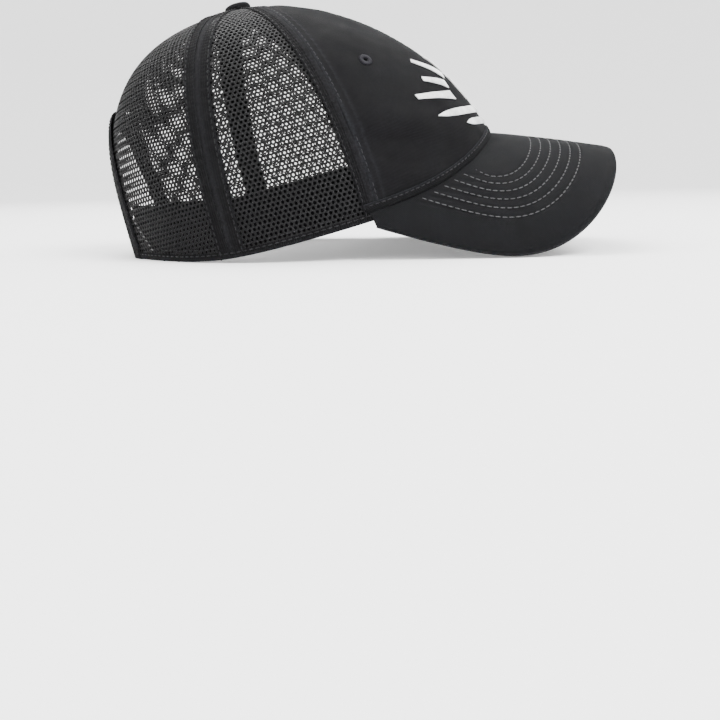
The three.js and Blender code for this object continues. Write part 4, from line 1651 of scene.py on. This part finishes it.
# ---------------------------------------------------------------- the visor
@dataclass
class Visor:
    """The visor: cloth over a board, with six rows of stitching."""

    finishes: Finishes
    first_row: float = 18.0
    row_pitch: float = 4.85
    rows: int = 6
    cloth: float = 0.7
    gap: float = 0.30
    roll_from: float = 0.92
    reach: float = 62.0

    def rows_at(self) -> list[float]:
        """Distances of the rows from the visor's edge."""
        return [self.first_row + self.row_pitch * k for k in range(self.rows)]

    def surface(self, place: Array, out: Array, depth: Array, grow: float, gap: float) -> Placed:
        """Points of a layer of the visor, and their flat places.

        Args:
            place: from -1 to 1 across the visor.
            out: from 0 at the crown to 1 at the edge.
            depth: how far above the visor's top, in millimetres; below it is negative.
            grow: margin on the outline.
            gap: distance kept to the crown.

        Returns:
            Points, distances around and distances along.
        """
        corner = VISOR.corner + grow / CROWN.half_width
        phi = corner * place
        angle, radius, along = VISOR.coordinates(CROWN.point(phi, CROWN.join(phi), VISOR.join_depth))
        start = clear_along(angle, radius + depth, along, gap)
        around, edge_along = VISOR.edge(np.abs(place), grow)
        edge_angle = np.sign(place) * around / VISOR.radius
        turned = angle + (edge_angle - angle) * out
        reach = start + (edge_along - start) * out
        lift = VISOR.radius + depth + (radius - VISOR.radius) * np.clip(1 - out, 0, 1) ** 3
        return VISOR.point(turned, lift, reach), turned * VISOR.radius, reach

    def relief(self, around: Array, along: Array) -> Array:
        """Puffs between the stitched rows, in millimetres.

        Args:
            around: distances around the axis.
            along: distances along it.

        Returns:
            Depths in millimetres.
        """
        inset = VISOR.inset(around, along)
        depth = np.zeros_like(inset)
        for row in self.rows_at():
            depth -= 0.42 * bump(inset, row, 0.62)
        return depth

    def top(self) -> Obj:
        """The upper cloth, which rolls over the edge.

        Returns:
            The new object.
        """

        def placed(u: Array, v: Array) -> Placed:
            """Lays the cloth, with its last rows rolled round the edge.

            Args:
                u: shares across.
                v: shares up.

            Returns:
                Points, cloth coordinates and wear.
            """
            place = 2 * u - 1
            flat = np.clip(v / self.roll_from, 0, 1)
            roll = np.clip((v - self.roll_from) / 0.08, 0, 1) * math.pi * 0.5
            _, around, along = self.surface(place, flat, np.zeros_like(u), 0.0, self.gap)
            plain = self.relief(around, along) * ramp(flat, 0.0, 0.1)
            at = VISOR.point(around / VISOR.radius, VISOR.radius, along)
            plain = plain + 0.10 * waves(at, 13, 6.0)
            edge_drop = -1.9 * (1 - np.cos(roll)) - 0.25 * ramp(flat, 0.955, 1.0)
            grow = np.where(v > self.roll_from, -0.9 + 0.9 * np.sin(roll), -0.9 * ramp(flat, 0.9, 1.0))
            points, around, along = self.surface(place, flat, plain + edge_drop, 0.0, self.gap)
            moved, _, _ = self.surface(place, flat + grow / self.reach, plain + edge_drop, 0.0, self.gap)
            points = np.where((v > 0.85)[..., None], moved, points)
            wear_and_highlight = 0.5 * bump(v, 0.955, 0.025) + 0.10 * np.clip(waves(at, 24, 8.0), 0, 1)
            return points, np.stack([around, along], -1), wear_and_highlight

        obj = Maker.cloth("visor_top_cloth", (250, 110), placed, self.finishes.visor, (0, -60, -60),
                          self.cloth)
        Maker.smooth(obj, 50)
        return obj

    def under(self) -> Obj:
        """The lower cloth.

        Returns:
            The new object.
        """

        def placed(u: Array, v: Array) -> Placed:
            """Lays the cloth under the board.

            Args:
                u: shares across.
                v: shares up.

            Returns:
                Points, cloth coordinates and wear.
            """
            place = 2 * u - 1
            _, around, along = self.surface(place, v, np.zeros_like(u) - VISOR.thick, -0.3, self.gap)
            lift = -0.8 * self.relief(around, along) * ramp(v, 0.0, 0.1) + 0.9 * ramp(v, 0.975, 1.0)
            points, around, along = self.surface(place, v, lift - VISOR.thick + 0.15, -0.3, self.gap)
            return points, np.stack([around, along], -1), 0.3 * bump(v, 1.0, 0.02)

        obj = Maker.cloth("visor_under_cloth", (220, 80), placed, self.finishes.visor, (0, -60, 200), 0.6)
        Maker.smooth(obj, 50)
        return obj

    def build(self) -> None:
        """Makes both cloths and the rows of stitches."""
        for obj, node in ((self.top(), "visor_top_cover"), (self.under(), "visor_under_cover")):
            Maker.attach(obj, "cotton_twill", node)
            Maker.cut_area(obj)
        for over, name in ((True, "visor_stitching"), (False, "visor_under_stitching")):
            lines = []
            for row in self.rows_at():
                place = np.linspace(-1, 1, 500)
                around, along = VISOR.edge(np.abs(place), -row)
                angle = np.sign(place) * around / VISOR.radius
                depth = -0.22 if over else -VISOR.thick - 0.28
                fall = self.fall(angle, along)
                line = VISOR.point(angle, VISOR.radius + depth + fall, along)
                out = VISOR.point(angle, VISOR.radius + depth + fall + (1 if over else -1), along) - line
                keep = outside_crown(line) > 1.6
                lines.append((line[keep], out[keep]))
            thread = Maker.stitches(name, lines, self.finishes.grey, pitch=3.1, length=2.5, width=0.62,
                                    height=0.42)
            Maker.attach(thread, "cotton_twill")
        log.info("visor made")

    def fall(self, angle: Array, along: Array) -> Array:
        """How far the visor's surface is below its cylinder near the crown.

        Args:
            angle: angles round the axis.
            along: distances along it.

        Returns:
            Depths in millimetres, negative below.
        """
        phi = np.linspace(-VISOR.corner, VISOR.corner, 241)
        a, radius, start = VISOR.coordinates(CROWN.point(phi, CROWN.join(phi), VISOR.join_depth))
        begin, dip = np.interp(angle, a, start), np.interp(angle, a, radius - VISOR.radius)
        place = np.linspace(-1, 1, 241)
        around, edge = VISOR.edge(np.abs(place), 0.0)
        order = np.argsort(np.sign(place) * around)
        finish = np.interp(angle * VISOR.radius, (np.sign(place) * around)[order], edge[order])
        out = np.clip((along - begin) / np.maximum(finish - begin, 5), 0, 1)
        return dip * (1 - out) ** 3


# ---------------------------------------------------------------- button and emblem
@dataclass
class Button:
    """The cloth-covered button at the top."""

    finishes: Finishes
    radius: float = 6.8
    base: float = 116.6
    rise: float = 3.3

    def build(self) -> None:
        """Shapes a sphere into the button's dome with the panel folds round its edge."""
        Maker.clear()
        bpy.ops.mesh.primitive_uv_sphere_add(segments=48, ring_count=24, radius=1.0)
        obj = bpy.context.object
        obj.name = "button_cloth"
        mesh = obj.data
        at = np.array([v.co[:] for v in mesh.vertices])
        turn = np.arctan2(at[:, 1], at[:, 0])
        flat = np.clip(np.hypot(at[:, 0], at[:, 1]), 0, 1)
        folds = 0.12 * np.abs(np.cos(turn * 4)) * flat**3
        radius = self.radius * flat**0.55 - folds
        high = np.sign(at[:, 2]) * np.abs(at[:, 2]) ** 0.62
        up = self.base + self.rise * high - 0.5 * folds
        points = CROWN.place(radius * np.cos(turn), radius * np.sin(turn), up)
        cloth = np.stack([at[:, 0], at[:, 1]], -1) * self.radius
        Maker.write(mesh, points * MM, cloth * MM, 0.35 * np.clip(at[:, 2], 0, 1))
        mesh.materials.append(self.finishes.twill)
        Maker.recalculate(obj)
        Maker.smooth(obj, 60)
        Maker.attach(obj, "cotton_twill", "button_cover", "button_shell")
        log.info("button made")


@dataclass
class Emblem:
    """A plain embroidered mark of the cap's own: a half sun over two bars."""

    finishes: Finishes
    cloth: TwillFront
    centre: float = 42.5
    sun: float = 16.0
    ray_start: float = 20.0
    ray_end: float = 34.0
    rays: int = 9

    def patch(self, name: str, outline: Callable[[Array, Array], Line], columns: int, rows: int,
              turn: float) -> Obj:
        """One field of satin stitches, padded in the middle.

        Args:
            name: the piece's name.
            outline: takes shares across and up and returns distances to the side and levels.
            columns: spans across.
            rows: spans up.
            turn: direction of the stitches.

        Returns:
            The new object.
        """

        def placed(u: Array, v: Array) -> Placed:
            """Lays the field on the crown's front.

            Args:
                u: shares across.
                v: shares up.

            Returns:
                Points, cloth coordinates and wear.
            """
            side, level = outline(u, v)
            phi = CROWN.front_angle(side, level)
            padding = np.sqrt(np.clip(np.sin(u * math.pi) * np.sin(v * math.pi), 0, 1))
            lift = self.cloth.lift(phi, level) + 0.42 + 0.55 * padding
            points = CROWN.point(phi, level, lift)
            c, s = math.cos(turn), math.sin(turn)
            cloth = np.stack([side * c + level * s, level * c - side * s], -1)
            return points, cloth, np.zeros_like(u)

        obj = Maker.cloth(name, (columns, rows), placed, self.finishes.white, (0, 60, 40), 0.9)
        Maker.smooth(obj, 50)
        return obj

    def build(self) -> None:
        """Makes the sun, its rays and the bars as one piece of embroidery."""
        parts = []

        def disc(u: Array, v: Array) -> Line:
            """The half disc."""
            r = self.sun * (0.02 + 0.98 * v)
            return r * np.cos(u * math.pi), self.centre + r * np.sin(u * math.pi)

        parts.append(self.patch("emblem", disc, 48, 12, 0.0))
        for k in range(self.rays):
            angle = math.pi * (k + 0.5) / self.rays
            far = self.ray_end if k % 2 == 0 else self.ray_end - 4

            def ray(u: Array, v: Array, angle: float = angle, far: float = far) -> Line:
                """One tapered ray."""
                r = self.ray_start + (far - self.ray_start) * v
                half = (2.4 - 1.2 * v) * (2 * u - 1)
                return (r * math.cos(angle) * 1.5 - half * math.sin(angle),
                        self.centre + r * math.sin(angle) * 0.9 + half * math.cos(angle))

            parts.append(self.patch(f"ray_{k}", ray, 6, 16, angle))
        for level, half, tall in ((self.centre - 5.6, 49.0, 3.8), (self.centre - 11.8, 37.0, 3.6)):

            def bar(u: Array, v: Array, level: float = level, half: float = half, tall: float = tall) -> Line:
                """One bar with rounded ends."""
                x = 2 * u - 1
                height = tall / 2 * np.clip(1 - np.abs(x) ** 14, 0.12, 1)
                return half * x, level + height * (2 * v - 1)

            parts.append(self.patch(f"bar_{level:.0f}", bar, 60, 8, 90 * DEG))
        Maker.hold(parts[0])
        for part in parts[1:]:
            part.select_set(True)
        bpy.ops.object.join()
        Maker.attach(parts[0], "eyelet_thread")
        log.info("emblem made")


# ---------------------------------------------------------------- the closure
@dataclass
class Closure:
    """The two halves of the snap strap."""

    finishes: Finishes
    height: float = 17.0
    lift: float = 0.9
    face: float = -2.2
    thickness: float = 1.3
    hinge_side: float = 35.4
    tab: float = 11.0
    reach: float = 14 * DEG
    pitch: float = 5.4 * DEG
    hole: float = 2.45
    stud: float = 1.5
    head: float = 1.72
    head_flat: float = 0.32

    def place(self, turn: float, sign: float) -> Line:
        """Angle and level of the strap's middle line at a turn."""
        phi = np.array([sign * (turn if turn <= math.pi else turn - 2 * math.pi)])
        return phi, CROWN.hem(phi, self.face) + self.lift + self.height / 2

    def hinge_angle(self) -> float:
        """Angle of the root of each strap."""
        at = np.array([math.pi - 0.4])
        return math.pi - math.asin(self.hinge_side / float(CROWN.radius(at, np.array([24.0]))[0]))

    def step_in(self, turn: Array) -> Array:
        """How far the studded half is stepped in at a turn past its root's side of the rear centre."""
        return 1.7 * ramp(turn, -0.385, -0.32)

    def stud_face(self, turn: float) -> float:
        """Depth of the studded half's outer face at a turn."""
        return self.face - float(self.step_in(np.array([turn - math.pi]))[0])

    def strap(self, name: str, sign: float, stepped: bool) -> Obj:
        """One half, from its sewn root to its rounded end.

        Args:
            name: the piece's name.
            sign: 1 for the wearer's left, else -1.
            stepped: whether it is stepped in to lie under the other half.

        Returns:
            The new object.
        """
        root = self.hinge_angle()
        start = root - (self.tab + 0.35) / CROWN.rear
        end = math.pi + self.reach
        cap_length = self.height / 2 / CROWN.rear

        def placed(u: Array, v: Array) -> Placed:
            """Lays the strap's face, with its raised rim.

            Args:
                u: shares across.
                v: shares up.

            Returns:
                Points, cloth coordinates and wear.
            """
            share = np.where(u < 0.8, u / 0.8 * 0.86, 0.86 + 0.14 * np.sin((u - 0.8) / 0.2 * 90 * DEG))
            turn = start + (end - start) * share
            phi = sign * np.where(turn > math.pi, turn - 2 * math.pi, turn)
            left = np.clip((end - turn) / cap_length, 0, 1)
            half = 0.5 * np.maximum(np.sqrt(np.clip(1 - (1 - left) ** 2, 0, 1)), 0.02)
            up = 0.5 + half * (2 * v - 1)
            step = self.step_in(turn - math.pi) if stepped else 0.0
            rim = 0.22 * (bump(v, 0.0, 0.07) + bump(v, 1.0, 0.07)) * ramp(turn, start, start + 0.15)
            depth = self.face - step + rim - 0.12
            level = CROWN.hem(phi, self.face) + self.lift + self.height * up
            points = CROWN.point(phi, level, depth)
            cloth = np.stack([turn * 90, up * self.height], -1)
            return points, cloth, 0.4 * (bump(v, 0, 0.05) + bump(v, 1, 0.05))

        return Maker.cloth(name, (90, 22), placed, self.finishes.plastic, (0, 60, 12), self.thickness)

    def bar(self, turn: float, sign: float, radius: float, low: float, high: float) -> Obj:
        """A round bar through the strap, from one depth to another.

        Args:
            turn: where it stands along the strap.
            sign: 1 for the wearer's left, else -1.
            radius: its radius.
            low: the depth where it starts.
            high: the depth where it ends.

        Returns:
            The new object.
        """
        phi, level = self.place(turn, sign)
        a, b = CROWN.point(phi, level, low)[0], CROWN.point(phi, level, high)[0]
        Maker.clear()
        bpy.ops.mesh.primitive_cylinder_add(
            vertices=24, radius=radius * MM, depth=float(np.linalg.norm(b - a)) * MM,
            location=Vector((a + b) / 2) * MM, rotation=Maker.facing(b - a))
        return bpy.context.object

    def build(self) -> None:
        """Makes both halves."""
        turns = [math.pi + k * self.pitch for k in range(-3, 3)]
        holes = self.strap("hole_half", 1.0, False)
        Maker.combine(holes, [self.bar(t, 1.0, self.hole, -6.5, 0.5) for t in turns], "DIFFERENCE")
        studs = self.strap("stud_half", -1.0, True)
        bars = []
        for t in turns:
            face = self.stud_face(t)
            bars.append(self.bar(t, -1.0, self.stud, face - 0.7, face + 1.75))
        Maker.combine(studs, bars, "UNION")
        self.heads(studs, turns)
        root = self.hinge_angle()
        for obj, sign, side, node, body in (
            (holes, 1.0, "left", "snap_strap_holes", "hole_strap"),
            (studs, -1.0, "right", "snap_strap_studs", "stud_strap"),
        ):
            Maker.smooth(obj, 35)
            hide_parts(f"strap_tab_{side}", node)
            self.spot(sign, root - 0.035)
            self.spot(sign, root + 0.07)
            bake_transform(obj)
        self.root_stitches()
        log.info("closure made")

    def heads(self, studs: Obj, turns: Sequence[float]) -> None:
        """Puts a rounded head on each stud.

        Args:
            studs: the studded half.
            turns: places of the studs.
        """
        heads = []
        for t in turns:
            phi, level = self.place(t, -1.0)
            face = self.stud_face(t) + 1.7
            a, b = CROWN.point(phi, level, face)[0], CROWN.point(phi, level, face + 1)[0]
            Maker.clear()
            bpy.ops.mesh.primitive_uv_sphere_add(
                segments=20, ring_count=10, radius=self.head * MM, location=Vector(a) * MM,
                rotation=Maker.facing(b - a), scale=(1, 1, self.head_flat))
            heads.append(bpy.context.object)
        Maker.combine(studs, heads, "UNION")

    def spot(self, sign: float, turn: float) -> tuple[float, float, float]:
        """A point of the strap's middle line in metres.

        Args:
            sign: 1 for the wearer's left, else -1.
            turn: the place along the strap.

        Returns:
            The point.
        """
        phi, level = self.place(turn, sign)
        x, y, z = CROWN.point(phi, level, self.face - 0.6)[0] * MM
        return float(x), float(y), float(z)

    def root_stitches(self) -> None:
        """The slanted rows of stitches that hold each root, seen on the net outside."""
        rows = []
        for sign in (1, -1):
            t = np.linspace(0, 1, 20)
            phi = sign * (147.0 * DEG - 7.5 * DEG * t)
            level = CROWN.hem(phi) + 21.0 - 16.5 * t
            rows.append(crown_line(phi, level, 0.7))
        lines = Maker.stitches("strap_root_stitching", rows, self.finishes.pale, pitch=2.7, length=1.7,
                               height=0.6, slant=0.45)
        Maker.attach(lines, "snap_plastic")


# ---------------------------------------------------------------- the stage
@dataclass
class Stage:
    """Floor, lights and camera."""

    finishes: Finishes
    camera_at: tuple[float, float, float] = (-0.466, 0.0005, 0.0354)
    down: float = 11.8 * DEG
    roll: float = 1.2 * DEG
    lens: float = 43.0
    flat_radius: float = 1.9
    bend_radius: float = 1.2
    wall_height: float = 1.2

    def floor(self) -> None:
        """A wide floor that curves up into a pale wall all round."""

        def placed(u: Array, v: Array) -> Placed:
            """A flat disc whose outer part turns upward.

            Args:
                u: shares across.
                v: shares up.

            Returns:
                Points, cloth coordinates and wear.
            """
            turn = u * 2 * math.pi
            bend = np.clip((v - 0.4) / 0.45, 0, 1) * math.pi / 2
            wall = np.clip((v - 0.85) / 0.15, 0, 1) * self.wall_height
            reach = 0.02 + self.flat_radius * np.clip(v / 0.4, 0, 1) + self.bend_radius * np.sin(bend)
            rise = self.bend_radius * (1 - np.cos(bend)) + wall
            points = np.stack([reach * np.cos(turn), reach * np.sin(turn), rise], -1) / MM
            return points, points[..., :2], np.zeros_like(u)

        obj = Maker.grid("floor", 96, 48, placed, self.finishes.floor)
        with Maker.editing(obj):
            bpy.ops.mesh.remove_doubles(threshold=0.0005)
            bpy.ops.mesh.select_all(action="DESELECT")
            bpy.ops.mesh.select_mode(type="EDGE")
            bpy.ops.mesh.select_non_manifold()
            bpy.ops.mesh.fill_holes(sides=0)
        bpy.ops.object.shade_smooth()

    def lights(self) -> None:
        """Large soft lights and an even pale surround."""
        world = bpy.data.worlds.new("surround")
        bpy.context.scene.world = world
        world.use_nodes = True
        back = world.node_tree.nodes["Background"]
        back.inputs["Color"].default_value = (0.93, 0.95, 1.0, 1.0)
        back.inputs["Strength"].default_value = 1.25
        for name, place, size, power in (
            ("key", (-0.55, -0.75, 1.35), 0.9, 44.0),
            ("rim", (0.6, 0.35, 1.5), 1.0, 34.0),
            ("fill", (-1.3, 0.6, 0.7), 1.4, 12.0),
        ):
            data = bpy.data.lights.new(name, "AREA")
            data.size = size
            data.energy = power
            light = bpy.data.objects.new(name, data)
            bpy.context.scene.collection.objects.link(light)
            light.location = place
            aim = Vector((0, 0, 0.05)) - Vector(place)
            light.rotation_euler = aim.to_track_quat("-Z", "Y").to_euler()

    def camera(self) -> None:
        """The camera, level with the cap's right side."""
        data = bpy.data.cameras.new("camera")
        data.lens = self.lens
        data.sensor_width = 36.0
        data.clip_start = 0.01
        camera = bpy.data.objects.new("camera", data)
        bpy.context.scene.collection.objects.link(camera)
        right = Vector((0, -math.cos(self.roll), -math.sin(self.roll)))
        level_up = Vector((0, -math.sin(self.roll), math.cos(self.roll)))
        ahead = Vector((1, 0, 0)) * math.cos(self.down) - level_up * math.sin(self.down)
        up = right.cross(ahead)
        matrix = Matrix((right, up, -ahead)).transposed().to_4x4()
        matrix.translation = Vector(self.camera_at)
        camera.matrix_world = matrix
        bpy.context.scene.camera = camera

    def build(self) -> None:
        """Sets the stage."""
        self.camera()
        self.lights()
        self.floor()


def dress_nodes(finishes: Finishes) -> None:
    """Gives the CAD nodes that stay in view their finishes.

    Args:
        finishes: the finishes.
    """
    for node, material in (("visor_board", finishes.board), ("button_washer", finishes.metal)):
        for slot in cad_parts[node].material_slots:
            slot.material = material


def main() -> None:
    """Builds the cap and its stage."""
    finishes = Finishes()
    Stage(finishes).build()
    front = TwillFront(finishes)
    front.build()
    Eyelets(finishes).build()
    NetPanels(finishes).build()
    SeamTapes(finishes).build()
    Hem(finishes).build()
    Opening(finishes).build()
    Visor(finishes).build()
    Button(finishes).build()
    Emblem(finishes, front).build()
    Closure(finishes).build()
    dress_nodes(finishes)


if __name__ == "__main__":
    main()
